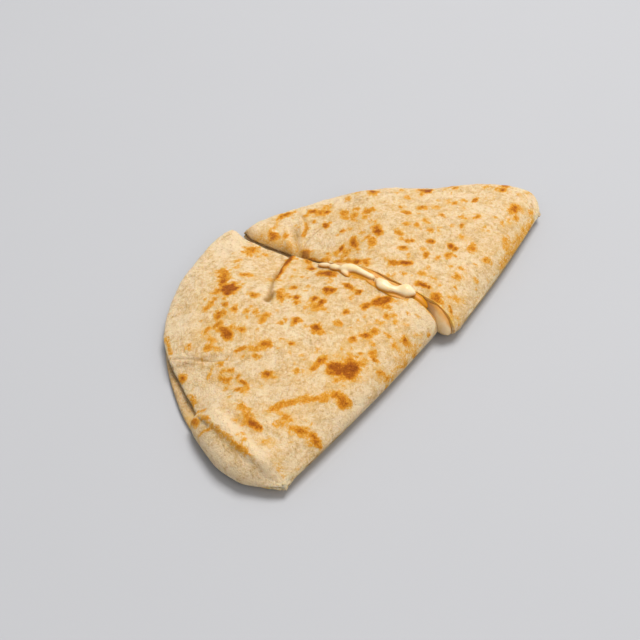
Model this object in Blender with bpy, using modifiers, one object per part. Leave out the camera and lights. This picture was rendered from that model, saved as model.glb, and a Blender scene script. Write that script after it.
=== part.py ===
"""A cheese quesadilla: a flour tortilla folded over melted cheese and cut across into two wedges.

The wedges lie close together, as the half moon that they were cut from. Each one is a single sheet
of tortilla folded round its filling, and a run of melted cheese has come up out of the cut.

Sizes are in metres. The fold runs along X, the round rim is towards +Y and the quesadilla lies on
z = 0. A wedge is worked out in its own plan: x runs along its fold away from the cut, y runs from
the fold towards the rim, and both start at the corner where the fold meets the cut.
"""

import math
from dataclasses import dataclass

import bmesh
import bpy
import numpy as np

SHEET = 0.0023  # the tortilla's thickness
FILLING_CLEARANCE = 0.0008  # between the filling and the sheet round it, whose facets differ

NOSE_HEIGHT = 0.0046  # where the fold's bend stands out furthest
BEND_DEPTH = 0.0115  # how far in from there the bend reaches
BEND_LENGTH = 0.0150  # along the sheet, from the nose to the flat
BEND_SQUARENESS = 1.12
BOW_REACH = 0.030  # how far from the fold its bow carries the sheet with it

PLATEAU = 0.0140  # the top over the filling
RIM_RISE = 0.040  # how far in from the rim the top reaches its plateau
EDGE_HEIGHT = 0.0052  # the top at a rim where the two leaves are pressed together

# The top along the cut: distance from the fold, height
CUT_PROFILE = (
    (0.000, 0.0138),
    (0.022, 0.0144),
    (0.034, 0.0151),
    (0.045, 0.0126),
    (0.054, 0.0084),
    (0.063, 0.0054),
    (0.078, 0.0050),
    (0.102, 0.0050),
)
CUT_REACH = 0.030  # how far from the cut the top follows that profile, at the fold
CUT_REACH_GROWTH = 0.2  # how much further it does for each step away from the fold

# The steep side by the acute corner: a bulge over the rim, then a valley before the plateau
SHOULDER_START = 8.0  # degrees from the fold where it is at its full height
SHOULDER_FADE = 7.0  # degrees that it takes to die away at its end
SHOULDER_BULGE = 0.0070  # how far in from the rim it rounds over
SHOULDER_DROP = 0.38  # the share of its height that the rim lies below the plain edge
SHOULDER_FALL = (0.008, 0.020)  # where it starts to fall back to the plateau, and over how far
VALLEY_DEPTH = 0.16  # as a share of the shoulder's height
VALLEY_PLACE = 0.0145
VALLEY_WIDTH = 0.0050

BEND_SHARE = 0.17  # of the way from the fold to the rim, where the rows are closest
LONGEST_REACH = 0.13
HALVINGS = 30  # of that length, to find where a rim lies
SHEET_COLUMNS = 23
BEND_ROWS = 4
TOP_ROWS = 19
BASE_ROWS = 6
FILLING_COLUMNS = 14
FILLING_ROWS = 12


@dataclass(frozen=True)
class Wedge:
    """The driving sizes of one wedge. A rim is pairs of degrees from the fold and plan radius."""

    name: str
    corner: tuple[float, float]
    fold_degrees: float
    hand: int  # 1 where the rim is to the left of the fold's direction, -1 to the right
    sector: float  # degrees between the fold and the cut
    fold_bow: float  # how far the fold bulges at its middle
    cut_shift: float  # how much further from the fold the cut's profile lies
    top_rim: tuple[tuple[float, float], ...]
    base_rim: tuple[tuple[float, float], ...]
    filling_rim: tuple[tuple[float, float], ...]
    shoulder: float  # the steep side's height over the rim near the acute corner
    shoulder_end: float  # degrees from the fold
    tear_lift: float  # how far the torn flap stands over the rest


NEAR = Wedge(
    name="near",
    corner=(0.0038, -0.0474),
    fold_degrees=177.5,
    hand=-1,
    sector=87.0,
    fold_bow=0.0,
    cut_shift=0.0,
    top_rim=(
        (0, 0.0935),
        (6, 0.0975),
        (14, 0.1006),
        (23, 0.1012),
        (28, 0.0994),
        (36, 0.1004),
        (44, 0.1029),
        (54, 0.1036),
        (64, 0.1032),
        (75, 0.1018),
        (83, 0.1008),
        (87, 0.0986),
    ),
    base_rim=(
        (0, 0.0935),
        (8, 0.0950),
        (19, 0.0972),
        (27, 0.1010),
        (37, 0.1022),
        (54, 0.1032),
        (64, 0.1028),
        (75, 0.1014),
        (83, 0.1004),
        (87, 0.0984),
    ),
    filling_rim=((0, 0.077), (15, 0.083), (33, 0.085), (48, 0.073), (62, 0.061), (75, 0.058), (87, 0.056)),
    shoulder=0.0056,
    shoulder_end=26.0,
    tear_lift=0.0013,
)

FAR = Wedge(
    name="far",
    corner=(0.0064, -0.0533),
    fold_degrees=4.95,
    hand=1,
    sector=85.3,
    fold_bow=0.0011,
    cut_shift=0.0025,
    top_rim=(
        (0, 0.0832),
        (3, 0.0868),
        (8, 0.0889),
        (14, 0.0895),
        (21, 0.0880),
        (27, 0.0861),
        (34, 0.0845),
        (41, 0.0857),
        (49, 0.0880),
        (58, 0.0899),
        (67, 0.0929),
        (76, 0.0964),
        (81, 0.0992),
        (85.3, 0.1004),
    ),
    base_rim=(
        (0, 0.0832),
        (8, 0.0882),
        (14, 0.0888),
        (27, 0.0856),
        (34, 0.0842),
        (49, 0.0876),
        (67, 0.0925),
        (76, 0.0960),
        (85.3, 0.1000),
    ),
    filling_rim=((0, 0.067), (15, 0.073), (35, 0.071), (50, 0.069), (62, 0.064), (75, 0.060), (85.3, 0.058)),
    shoulder=0.0028,
    shoulder_end=60.0,
    tear_lift=0.0,
)

# The step where the near wedge's top drops off its filling, from the cut inwards
STEP_LINE = ((0.000, 0.0600), (0.014, 0.0610), (0.026, 0.0580), (0.034, 0.0530))
STEP_HEIGHT = 0.0022
STEP_WIDTH = 0.0030
STEP_FADE = 0.010  # how far to each side it dies away

# The tear in the near wedge's top, from the rim inwards
TEAR_LINE = ((0.080, 0.0660), (0.074, 0.0600), (0.067, 0.0530), (0.061, 0.0440))
TEAR_WIDTH = 0.0022
TEAR_FADE = 0.016  # how far from the tear the flap stands up

# The run of cheese over the near wedge's cut edge: distance from the fold, width, height
RUN_STATIONS = (
    (0.0105, 0.0012, 0.0008),
    (0.0125, 0.0042, 0.0026),
    (0.0160, 0.0050, 0.0034),
    (0.0200, 0.0034, 0.0026),
    (0.0260, 0.0026, 0.0020),
    (0.0310, 0.0030, 0.0022),
    (0.0360, 0.0036, 0.0028),
    (0.0410, 0.0034, 0.0026),
    (0.0460, 0.0020, 0.0016),
    (0.0515, 0.0008, 0.0008),
)
RUN_ROOT = 0.0030  # how far down the slot between the wedges the run reaches
RUN_CLEARANCE = 0.0005
RUN_ARC_POINTS = 7
RUN_LENGTH_STEPS = 22
SLOT = 0.0024  # between the wedges' cut faces


def eased(value):
    """0 below 0, 1 above 1, with a smooth climb between them."""
    share = np.clip(value, 0.0, 1.0)
    return share * share * (3.0 - 2.0 * share)


def hump(value):
    """1 at 0, falling smoothly to 0 at -1 and 1."""
    share = np.clip(1.0 - value * value, 0.0, 1.0)
    return share * share


def rounded(value):
    """A quarter circle from 0 at 0 to 1 at 1 and beyond."""
    share = 1.0 - np.clip(value, 0.0, 1.0)
    return np.sqrt(1.0 - share * share)


def smooth_curve(points, at):
    """A smooth line through a few points, read at given places."""
    places = np.array([point[0] for point in points], float)
    values = np.array([point[1] for point in points], float)
    slopes = np.gradient(values, places)
    at = np.clip(at, places[0], places[-1])
    span = np.clip(np.searchsorted(places, at, side="right") - 1, 0, len(places) - 2)
    width = places[span + 1] - places[span]
    share = (at - places[span]) / width
    rise = share * share * (3.0 - 2.0 * share)
    start_pull = share * (1.0 - share) ** 2 * width * slopes[span]
    end_pull = share * share * (share - 1.0) * width * slopes[span + 1]
    return values[span] * (1.0 - rise) + values[span + 1] * rise + start_pull + end_pull


def beside_line(line, x, y):
    """Signed distance to the left of a bent line, and how far along it the nearest point is, 0 to 1."""
    best = np.full(np.shape(x), np.inf)
    side = np.zeros(np.shape(x))
    along = np.zeros(np.shape(x))
    lengths = [math.dist(a, b) for a, b in zip(line, line[1:])]
    walked = 0.0
    for (ax, ay), (bx, by), length in zip(line, line[1:], lengths):
        dx, dy = (bx - ax) / length, (by - ay) / length
        run = np.clip((x - ax) * dx + (y - ay) * dy, 0.0, length)
        off_x, off_y = x - ax - run * dx, y - ay - run * dy
        distance = np.hypot(off_x, off_y)
        closer = distance < best
        best = np.where(closer, distance, best)
        side = np.where(closer, np.sign(dx * off_y - dy * off_x), side)
        along = np.where(closer, (walked + run) / sum(lengths), along)
        walked += length
    return best * side, along


def bend(arc):
    """How far in from the nose, and how far through its turn (0 to 1), the sheet is after an arc."""
    turn = np.clip(arc / BEND_LENGTH, 0.0, 1.0) * math.pi / 2
    depth = BEND_DEPTH * (1.0 - np.cos(turn) ** BEND_SQUARENESS) + np.maximum(arc - BEND_LENGTH, 0.0)
    return depth, np.sin(turn) ** BEND_SQUARENESS


def reach(rim, direction):
    """How far along the unrolled sheet a rim lies, in each direction from the corner."""
    near, beyond = np.zeros(np.shape(direction)), np.full(np.shape(direction), LONGEST_REACH)
    for _ in range(HALVINGS):
        middle = (near + beyond) / 2
        x = middle * np.cos(direction)
        y = bend(middle * np.sin(direction))[0]
        outside = np.hypot(x, y) > smooth_curve(rim, np.degrees(np.arctan2(y, x)))
        near, beyond = np.where(outside, near, middle), np.where(outside, middle, beyond)
    return (near + beyond) / 2


def top_height(wedge, x, y):
    """Height of the top leaf's outer face over places on the wedge's plan, away from the bend."""
    radius = np.hypot(x, y)
    degrees = np.degrees(np.arctan2(y, x))
    inset = smooth_curve(wedge.top_rim, degrees) - radius
    fading = (degrees - wedge.shoulder_end) / SHOULDER_FADE
    shoulder = wedge.shoulder * eased(degrees / SHOULDER_START) * (1.0 - eased(fading + 0.7))
    climb = np.clip(inset / RIM_RISE, 0.0, 1.0)
    height = EDGE_HEIGHT + (PLATEAU - EDGE_HEIGHT) * climb * (2.0 - climb)
    height += shoulder * (rounded(inset / SHOULDER_BULGE) - SHOULDER_DROP)
    fallen = eased((inset - SHOULDER_FALL[0]) / SHOULDER_FALL[1])
    height -= shoulder * (1.0 - SHOULDER_DROP) * fallen
    height -= shoulder * VALLEY_DEPTH * hump((inset - VALLEY_PLACE) / VALLEY_WIDTH)
    from_cut = x - y / math.tan(math.radians(wedge.sector))
    by_cut = 1.0 - eased(from_cut / (CUT_REACH + CUT_REACH_GROWTH * y))
    height += (smooth_curve(CUT_PROFILE, y - wedge.cut_shift) - height) * by_cut
    if wedge.tear_lift:
        beside, along = beside_line(STEP_LINE, x, y)
        held = hump(along) * np.exp(-np.abs(beside) / STEP_FADE)
        height += STEP_HEIGHT * held * (eased(0.5 - beside / STEP_WIDTH) - 0.5)
        beside, along = beside_line(TEAR_LINE, x, y)
        held = (1.0 - eased(2.0 * along - 1.0)) * eased(beside / TEAR_FADE + 1.0)
        height += wedge.tear_lift * held * eased(0.5 - beside / TEAR_WIDTH)
    return height


def sheet_points(wedge, u, w, filling=False):
    """The folded sheet's outer face in the wedge's plan, for places on a unit half disc (u, w).

    w runs from -1 on the base leaf's side, through 0 at the fold, to 1 on the top leaf's side.
    """
    direction = np.arctan2(np.abs(w), u) * wedge.sector / 90.0
    top, base = wedge.top_rim, wedge.base_rim
    if filling:
        top = base = wedge.filling_rim
    arc = np.hypot(u, w) * np.where(w >= 0.0, reach(top, direction), reach(base, direction))
    x = arc * np.cos(direction)
    y, turned = bend(arc * np.sin(direction))
    bow = wedge.fold_bow * np.sin(math.pi * np.clip(x / top[0][1], 0.0, 1.0))
    y = y - bow * (1.0 - eased(y / BOW_REACH))
    top_z = NOSE_HEIGHT + (top_height(wedge, x, y) - NOSE_HEIGHT) * turned
    base_z = NOSE_HEIGHT * (1.0 - turned)
    return np.stack([x, y, np.where(w >= 0.0, top_z, base_z)], axis=-1)


def half_disc(a, b):
    """A rectangle (a from 0 to 1, b from -1 to 1) spread evenly over the unit half disc."""
    return a * np.sqrt(1.0 - b * b / 2.0), b * np.sqrt(1.0 - a * a / 2.0)


def row_places(base_rows, bend_rows, top_rows):
    """Places from -1 to 1 for the sheet's rows: close together round the bend, wider elsewhere."""
    base = np.linspace(-1.0, -BEND_SHARE, base_rows + 1)[:-1]
    turn = np.linspace(-BEND_SHARE, BEND_SHARE, 2 * bend_rows + 1)
    top = np.linspace(BEND_SHARE, 1.0, top_rows + 1)[1:]
    return np.concatenate([base, turn, top])


def placed(wedge, points):
    """Points of a wedge's own plan, placed in the whole quesadilla."""
    fold = math.radians(wedge.fold_degrees)
    across = fold + wedge.hand * math.pi / 2
    x, y, z = points[..., 0], points[..., 1], points[..., 2]
    return np.stack(
        [
            wedge.corner[0] + x * math.cos(fold) + y * math.cos(across),
            wedge.corner[1] + x * math.sin(fold) + y * math.sin(across),
            z,
        ],
        axis=-1,
    )


def material(name, colour, roughness):
    """A plain Principled material."""
    made = bpy.data.materials.new(name)
    made.use_nodes = True
    shader = made.node_tree.nodes["Principled BSDF"]
    shader.inputs["Base Color"].default_value = (*colour, 1.0)
    shader.inputs["Roughness"].default_value = roughness
    return made


def add_object(name, mesh, collection, finish):
    """An object for a mesh, in the quesadilla's collection."""
    made = bpy.data.objects.new(name, mesh)
    made.data.materials.append(finish)
    mesh.shade_smooth()
    mesh.set_sharp_from_angle(angle=math.radians(40))
    collection.objects.link(made)
    return made


def lattice(name, points, flipped):
    """A mesh over a lattice of points (columns by rows), with no thickness."""
    columns, rows = points.shape[:2]
    made = bpy.data.meshes.new(name)
    mesh = bmesh.new()
    bmesh.ops.create_grid(mesh, x_segments=columns - 1, y_segments=rows - 1, size=1.0)
    mesh.verts.ensure_lookup_table()
    order = sorted(mesh.verts, key=lambda vert: (round(vert.co.x, 5), round(vert.co.y, 5)))
    for vert, point in zip(order, points.reshape(-1, 3)):
        vert.co = point
    if flipped:
        bmesh.ops.reverse_faces(mesh, faces=mesh.faces)
    mesh.to_mesh(made)
    mesh.free()
    return made


def build_tortilla(wedge, collection, finish):
    """The wedge's folded sheet: one leaf under the filling, the bend, and one leaf over it."""
    columns = np.linspace(0.0, 1.0, SHEET_COLUMNS + 1)
    rows = row_places(BASE_ROWS, BEND_ROWS, TOP_ROWS)
    u, w = half_disc(*np.meshgrid(columns, rows, indexing="ij"))
    points = placed(wedge, sheet_points(wedge, u, w))
    mesh = lattice(f"{wedge.name}_tortilla", points, flipped=wedge.hand < 0)
    made = add_object(f"{wedge.name}_tortilla", mesh, collection, finish)
    solid = made.modifiers.new("sheet", "SOLIDIFY")
    solid.thickness = SHEET
    solid.offset = -1.0
    return made


def face_outwards(mesh):
    """Turns the faces of a closed mesh so that they all point out of it."""
    bmesh.ops.recalc_face_normals(mesh, faces=mesh.faces)
    if mesh.calc_volume(signed=True) < 0.0:
        bmesh.ops.reverse_faces(mesh, faces=mesh.faces)


def facing(points):
    """Unit normals over a lattice of points, pointing away from the filling."""
    along_columns = np.gradient(points, axis=0)
    along_rows = np.gradient(points, axis=1)
    normals = np.cross(along_columns, along_rows)
    return normals / np.linalg.norm(normals, axis=-1, keepdims=True)


def build_filling(wedge, collection, finish):
    """The melted cheese between the leaves, open to the cut and short of the rim."""
    columns = np.linspace(0.0, 1.0, FILLING_COLUMNS + 1)
    rows = row_places(FILLING_ROWS - BEND_ROWS, BEND_ROWS, FILLING_ROWS - BEND_ROWS)
    u, w = half_disc(*np.meshgrid(columns, rows, indexing="ij"))
    outside = sheet_points(wedge, u, w, filling=True)
    inside = outside - facing(outside) * (SHEET + FILLING_CLEARANCE)
    points = placed(wedge, inside)
    middle = len(rows) // 2
    made = bpy.data.meshes.new(f"{wedge.name}_cheese")
    mesh = bmesh.new()
    verts = [[mesh.verts.new(point) for point in column] for column in points]
    for column, following in zip(verts, verts[1:]):
        for row in range(len(rows) - 1):
            mesh.faces.new((column[row], following[row], following[row + 1], column[row + 1]))
    for row in range(middle):
        for end, turned in ((verts[0], False), (verts[-1], True)):
            ring = [end[row], end[row + 1], end[-2 - row], end[-1 - row]]
            ring = list(dict.fromkeys(ring))
            mesh.faces.new(ring[::-1] if turned else ring)
    for column, following in zip(verts, verts[1:]):
        mesh.faces.new((column[0], column[-1], following[-1], following[0]))
    face_outwards(mesh)
    mesh.to_mesh(made)
    mesh.free()
    return add_object(f"{wedge.name}_cheese", made, collection, finish)


def run_section(distance, width, height):
    """The ring of points round the run of cheese, at a distance from the fold along the near cut."""
    cut_x = distance / math.tan(math.radians(NEAR.sector))

    def top(aside):
        return float(top_height(NEAR, np.array(cut_x + aside), np.array(distance)))

    far_side = -SLOT + RUN_CLEARANCE
    edge = top(0.0)
    ring = [(-RUN_CLEARANCE, edge - RUN_ROOT), (far_side, edge - RUN_ROOT)]
    for step in range(RUN_ARC_POINTS):
        turn = math.pi * (1.0 - step / (RUN_ARC_POINTS - 1))
        aside = (far_side + width) / 2 + (width - far_side) / 2 * math.cos(turn)
        ring.append((aside, top(max(aside, 0.0)) + RUN_CLEARANCE + height * math.sin(turn)))
    ring.append((-RUN_CLEARANCE, edge + RUN_CLEARANCE))
    return np.array([(cut_x + aside, distance, z) for aside, z in ring])


def build_run(collection, finish):
    """The melted cheese that has come up between the wedges and lies on the near cut edge."""
    first, last = RUN_STATIONS[0][0], RUN_STATIONS[-1][0]
    widths = [station[:2] for station in RUN_STATIONS]
    heights = [(station[0], station[2]) for station in RUN_STATIONS]
    mesh = bmesh.new()
    rings = []
    for distance in np.linspace(first, last, RUN_LENGTH_STEPS + 1):
        width = float(smooth_curve(widths, distance))
        height = float(smooth_curve(heights, distance))
        ring = placed(NEAR, run_section(distance, width, height))
        rings.append([mesh.verts.new(point) for point in ring])
    for ring, following in zip(rings, rings[1:]):
        for place in range(len(ring)):
            beyond = (place + 1) % len(ring)
            mesh.faces.new((ring[place], ring[beyond], following[beyond], following[place]))
    mesh.faces.new(rings[0])
    mesh.faces.new(rings[-1])
    face_outwards(mesh)
    bmesh.ops.triangulate(mesh, faces=mesh.faces)
    made = bpy.data.meshes.new("cheese_run")
    mesh.to_mesh(made)
    mesh.free()
    return add_object("cheese_run", made, collection, finish)


def main():
    """Clears the scene and builds both wedges and the run of cheese."""
    for old in list(bpy.data.objects):
        bpy.data.objects.remove(old, do_unlink=True)
    collection = bpy.data.collections.new("quesadilla")
    bpy.context.scene.collection.children.link(collection)
    tortilla = material("tortilla", (0.72, 0.55, 0.34), 0.72)
    cheese = material("cheese", (0.86, 0.72, 0.45), 0.35)
    for wedge in (NEAR, FAR):
        build_tortilla(wedge, collection, tortilla)
        build_filling(wedge, collection, cheese)
    build_run(collection, cheese)


main()
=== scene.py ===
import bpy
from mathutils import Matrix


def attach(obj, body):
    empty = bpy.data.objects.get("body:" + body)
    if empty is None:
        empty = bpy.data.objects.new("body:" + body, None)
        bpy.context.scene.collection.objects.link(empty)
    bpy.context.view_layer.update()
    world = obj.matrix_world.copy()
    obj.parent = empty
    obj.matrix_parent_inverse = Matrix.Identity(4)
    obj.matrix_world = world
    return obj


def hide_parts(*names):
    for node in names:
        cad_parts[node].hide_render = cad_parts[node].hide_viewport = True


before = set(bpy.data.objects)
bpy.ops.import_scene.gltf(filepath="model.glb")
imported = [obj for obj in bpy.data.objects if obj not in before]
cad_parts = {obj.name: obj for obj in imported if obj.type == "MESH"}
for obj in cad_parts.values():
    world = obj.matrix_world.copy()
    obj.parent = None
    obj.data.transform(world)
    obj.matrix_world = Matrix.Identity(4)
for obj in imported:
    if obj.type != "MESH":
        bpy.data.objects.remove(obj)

"""The looks of a cheese quesadilla: a toasted flour tortilla folded over melted cheese and cut in two.

Each wedge is one sheet of tortilla, rolled round its fold from a flat grid, with its toasted spots,
creases and puffed skin worked into the mesh. The melted cheese fills the wedges, shows at the cut
and has run out over the near cut edge.

Lengths are in millimetres until a mesh is made. A place on a wedge is given as (along, arc): along
runs down the fold from the cut, and arc runs over the sheet from the fold towards the rim.
"""

import logging
import math
from dataclasses import dataclass, field
from enum import Enum
from typing import Any, Iterable, Sequence

import bpy
import numpy as np
from mathutils import Vector

MM = 0.001
LOG = logging.getLogger("quesadilla")

Place = tuple[float, float]
Line = tuple[Place, ...]
Colour = tuple[float, float, float]


# --------------------------------------------------------------------------- curves and fields


def eased(value: np.ndarray | float) -> np.ndarray:
    """Return 0 below 0 and 1 above 1, with a smooth climb between them."""
    share = np.clip(value, 0.0, 1.0)
    return share * share * (3.0 - 2.0 * share)


def hump(value: np.ndarray | float) -> np.ndarray:
    """Return 1 at 0, falling smoothly to 0 at -1 and 1."""
    share = np.clip(1.0 - np.square(value), 0.0, 1.0)
    return share * share


def rounded(value: np.ndarray | float) -> np.ndarray:
    """Return a quarter circle that climbs from 0 at 0 to 1 at 1 and beyond."""
    share = 1.0 - np.clip(value, 0.0, 1.0)
    return np.sqrt(1.0 - share * share)


def smooth_curve(points: Sequence[Place], at: np.ndarray | float) -> np.ndarray:
    """Read a smooth line through a few points.

    Args:
        points: Pairs of a place and a value, in rising order of place.
        at: The places to read, held to the ends of the line.

    Returns:
        The values there.
    """
    places = np.array([point[0] for point in points], float)
    values = np.array([point[1] for point in points], float)
    slopes = np.gradient(values, places)
    at = np.clip(at, places[0], places[-1])
    span = np.clip(np.searchsorted(places, at, side="right") - 1, 0, len(places) - 2)
    width = places[span + 1] - places[span]
    share = (at - places[span]) / width
    rise = share * share * (3.0 - 2.0 * share)
    start_pull = share * (1.0 - share) ** 2 * width * slopes[span]
    end_pull = share * share * (share - 1.0) * width * slopes[span + 1]
    return values[span] * (1.0 - rise) + values[span + 1] * rise + start_pull + end_pull


def beside_line(line: Line, x: np.ndarray, y: np.ndarray) -> tuple[np.ndarray, np.ndarray]:
    """Measure places against a bent line.

    Args:
        line: The line's corners.
        x: First coordinates of the places.
        y: Second coordinates of the places.

    Returns:
        The distance to the left of the line (negative to its right), and how far along the line
        the nearest point is, from 0 to 1.
    """
    best = np.full(np.shape(x), np.inf)
    side = np.zeros(np.shape(x))
    along = np.zeros(np.shape(x))
    lengths = [math.dist(a, b) for a, b in zip(line, line[1:])]
    walked = 0.0
    for (ax, ay), (bx, by), length in zip(line, line[1:], lengths):
        dx, dy = (bx - ax) / length, (by - ay) / length
        run = np.clip((x - ax) * dx + (y - ay) * dy, 0.0, length)
        off_x, off_y = x - ax - run * dx, y - ay - run * dy
        distance = np.hypot(off_x, off_y)
        closer = distance < best
        best = np.where(closer, distance, best)
        side = np.where(closer, np.sign(dx * off_y - dy * off_x), side)
        along = np.where(closer, (walked + run) / sum(lengths), along)
        walked += length
    return best * side, along


@dataclass
class Drift:
    """Smooth random waves over a plane, the same on every run.

    Attributes:
        spacing: Millimetres from one wave to the next.
        seed: Which waves.
    """

    spacing: float
    seed: int
    cells: int = 96
    table: np.ndarray = field(init=False)

    def __post_init__(self) -> None:
        """Draw the table of random heights."""
        self.table = np.random.default_rng(self.seed).uniform(-1.0, 1.0, (self.cells, self.cells))

    def at(self, x: np.ndarray, y: np.ndarray) -> np.ndarray:
        """Read the waves.

        Args:
            x: First coordinates, in millimetres.
            y: Second coordinates, in millimetres.

        Returns:
            Heights from about -1 to 1.
        """
        turned_x = 0.8 * x - 0.6 * y
        turned_y = 0.6 * x + 0.8 * y
        column = turned_x / self.spacing + 0.37 * self.cells
        row = turned_y / self.spacing + 0.21 * self.cells
        left, low = np.floor(column).astype(int), np.floor(row).astype(int)
        across, up = eased(column - left), eased(row - low)
        left, right = left % self.cells, (left + 1) % self.cells
        low, high = low % self.cells, (low + 1) % self.cells
        bottom = self.table[low, left] * (1.0 - across) + self.table[low, right] * across
        top = self.table[high, left] * (1.0 - across) + self.table[high, right] * across
        return bottom * (1.0 - up) + top * up


# --------------------------------------------------------------------------- shader building


class Socket:
    """An output of a shader node, which adds Math nodes as it is used in an expression."""

    def __init__(self, shader: "Shader", output: bpy.types.NodeSocket) -> None:
        """Wrap an output of one of the shader's nodes."""
        self.shader = shader
        self.output = output

    def _math(self, operation: str, first: Any, second: Any = None) -> "Socket":
        """Add one Math node and return its value."""
        values = {0: first} if second is None else {0: first, 1: second}
        return self.shader.node("ShaderNodeMath", {"operation": operation}, values)

    def __add__(self, other: "Socket | float") -> "Socket":
        """Return the sum."""
        return self._math("ADD", self, other)

    def __sub__(self, other: "Socket | float") -> "Socket":
        """Return the difference."""
        return self._math("SUBTRACT", self, other)

    def __rsub__(self, other: float) -> "Socket":
        """Return the difference from a number."""
        return self._math("SUBTRACT", other, self)

    def __mul__(self, other: "Socket | float") -> "Socket":
        """Return the product."""
        return self._math("MULTIPLY", self, other)

    def __truediv__(self, other: "Socket | float") -> "Socket":
        """Return the quotient."""
        return self._math("DIVIDE", self, other)

    __radd__ = __add__
    __rmul__ = __mul__

    def size(self) -> "Socket":
        """Return the value without its sign."""
        return self._math("ABSOLUTE", self)

    def held(self) -> "Socket":
        """Return the value kept between 0 and 1."""
        return self.shader.node(
            "ShaderNodeMath", {"operation": "ADD", "use_clamp": True}, {0: self, 1: 0.0}
        )

    def between(self, low: float, high: float) -> "Socket":
        """Return a smooth climb from 0 where the value is low to 1 where it is high."""
        return self.shader.node(
            "ShaderNodeMapRange",
            {"interpolation_type": "SMOOTHSTEP"},
            {"Value": self, "From Min": low, "From Max": high},
        )


class Shader:
    """A material under construction."""

    def __init__(self, name: str) -> None:
        """Start a material with an empty Principled shader."""
        self.material = bpy.data.materials.new(name)
        self.material.use_nodes = True
        self.tree = self.material.node_tree
        self.surface = self.tree.nodes["Principled BSDF"]

    def node(
        self,
        kind: str,
        settings: dict[str, Any] | None = None,
        inputs: dict[int | str, Any] | None = None,
        output: int | str = 0,
    ) -> Socket:
        """Add a node.

        Args:
            kind: The node's type.
            settings: Properties set before its inputs.
            inputs: Values or sockets for its inputs, by name or index.
            output: Which output to return.

        Returns:
            The chosen output.
        """
        made = self.tree.nodes.new(kind)
        for name, value in (settings or {}).items():
            setattr(made, name, value)
        for place, value in (inputs or {}).items():
            self.feed(made.inputs[place], value)
        return Socket(self, made.outputs[output])

    def feed(self, target: bpy.types.NodeSocket, value: Any) -> None:
        """Link a socket to an input, or set the input to a plain value."""
        if isinstance(value, Socket):
            self.tree.links.new(value.output, target)
        elif isinstance(value, tuple) and len(value) == 3 and target.type == "RGBA":
            target.default_value = (*value, 1.0)
        else:
            target.default_value = value

    def finish(self, **inputs: Any) -> bpy.types.Material:
        """Set the Principled shader's inputs and return the material.

        Args:
            inputs: Values or sockets by input name, with _ for a space.

        Returns:
            The finished material.
        """
        for name, value in inputs.items():
            self.feed(self.surface.inputs[name.replace("_", " ")], value)
        return self.material

    def position(self) -> Socket:
        """Return the place on the piece, in metres."""
        return self.node("ShaderNodeTexCoord", output="Object")

    def painted(self, name: str) -> Socket:
        """Return a value painted on the mesh."""
        return self.node(
            "ShaderNodeAttribute",
            {"attribute_type": "GEOMETRY", "attribute_name": name},
            output="Fac",
        )

    def noise(self, at: Socket, size: float, detail: float = 3.0, rough: float = 0.55,
              warp: float = 0.0) -> Socket:
        """Return noise whose lumps are about size millimetres across, from 0 to 1."""
        return self.node(
            "ShaderNodeTexNoise",
            {"noise_dimensions": "3D"},
            {"Vector": at, "Scale": 1.0 / (size * MM), "Detail": detail, "Roughness": rough,
             "Distortion": warp},
        )

    def mix(self, factor: Socket | float, first: Any, second: Any) -> Socket:
        """Return a colour mixed from two."""
        return self.node(
            "ShaderNodeMix",
            {"data_type": "RGBA"},
            {"Factor": factor, 6: first, 7: second},
            output=2,
        )

    def bump(self, height: Socket, distance: float, strength: float = 1.0) -> Socket:
        """Return a normal with relief; distance is the height of a value of 1, in millimetres."""
        return self.node(
            "ShaderNodeBump",
            inputs={"Height": height, "Distance": distance * MM, "Strength": strength},
        )


# --------------------------------------------------------------------------- finishes


class Painted(Enum):
    """The values painted on the tortilla's mesh."""

    TOAST = "toast"
    OIL = "oil"
    CRUMB = "crumb"
    # Painted shade in creases, in gaps and on the inner faces, with some browning.
    CREASE = "crease"
    # Paler skin, and a painted highlight along the crest of the near ridge.
    FLOUR = "flour"
    WARMTH = "warmth"


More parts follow.
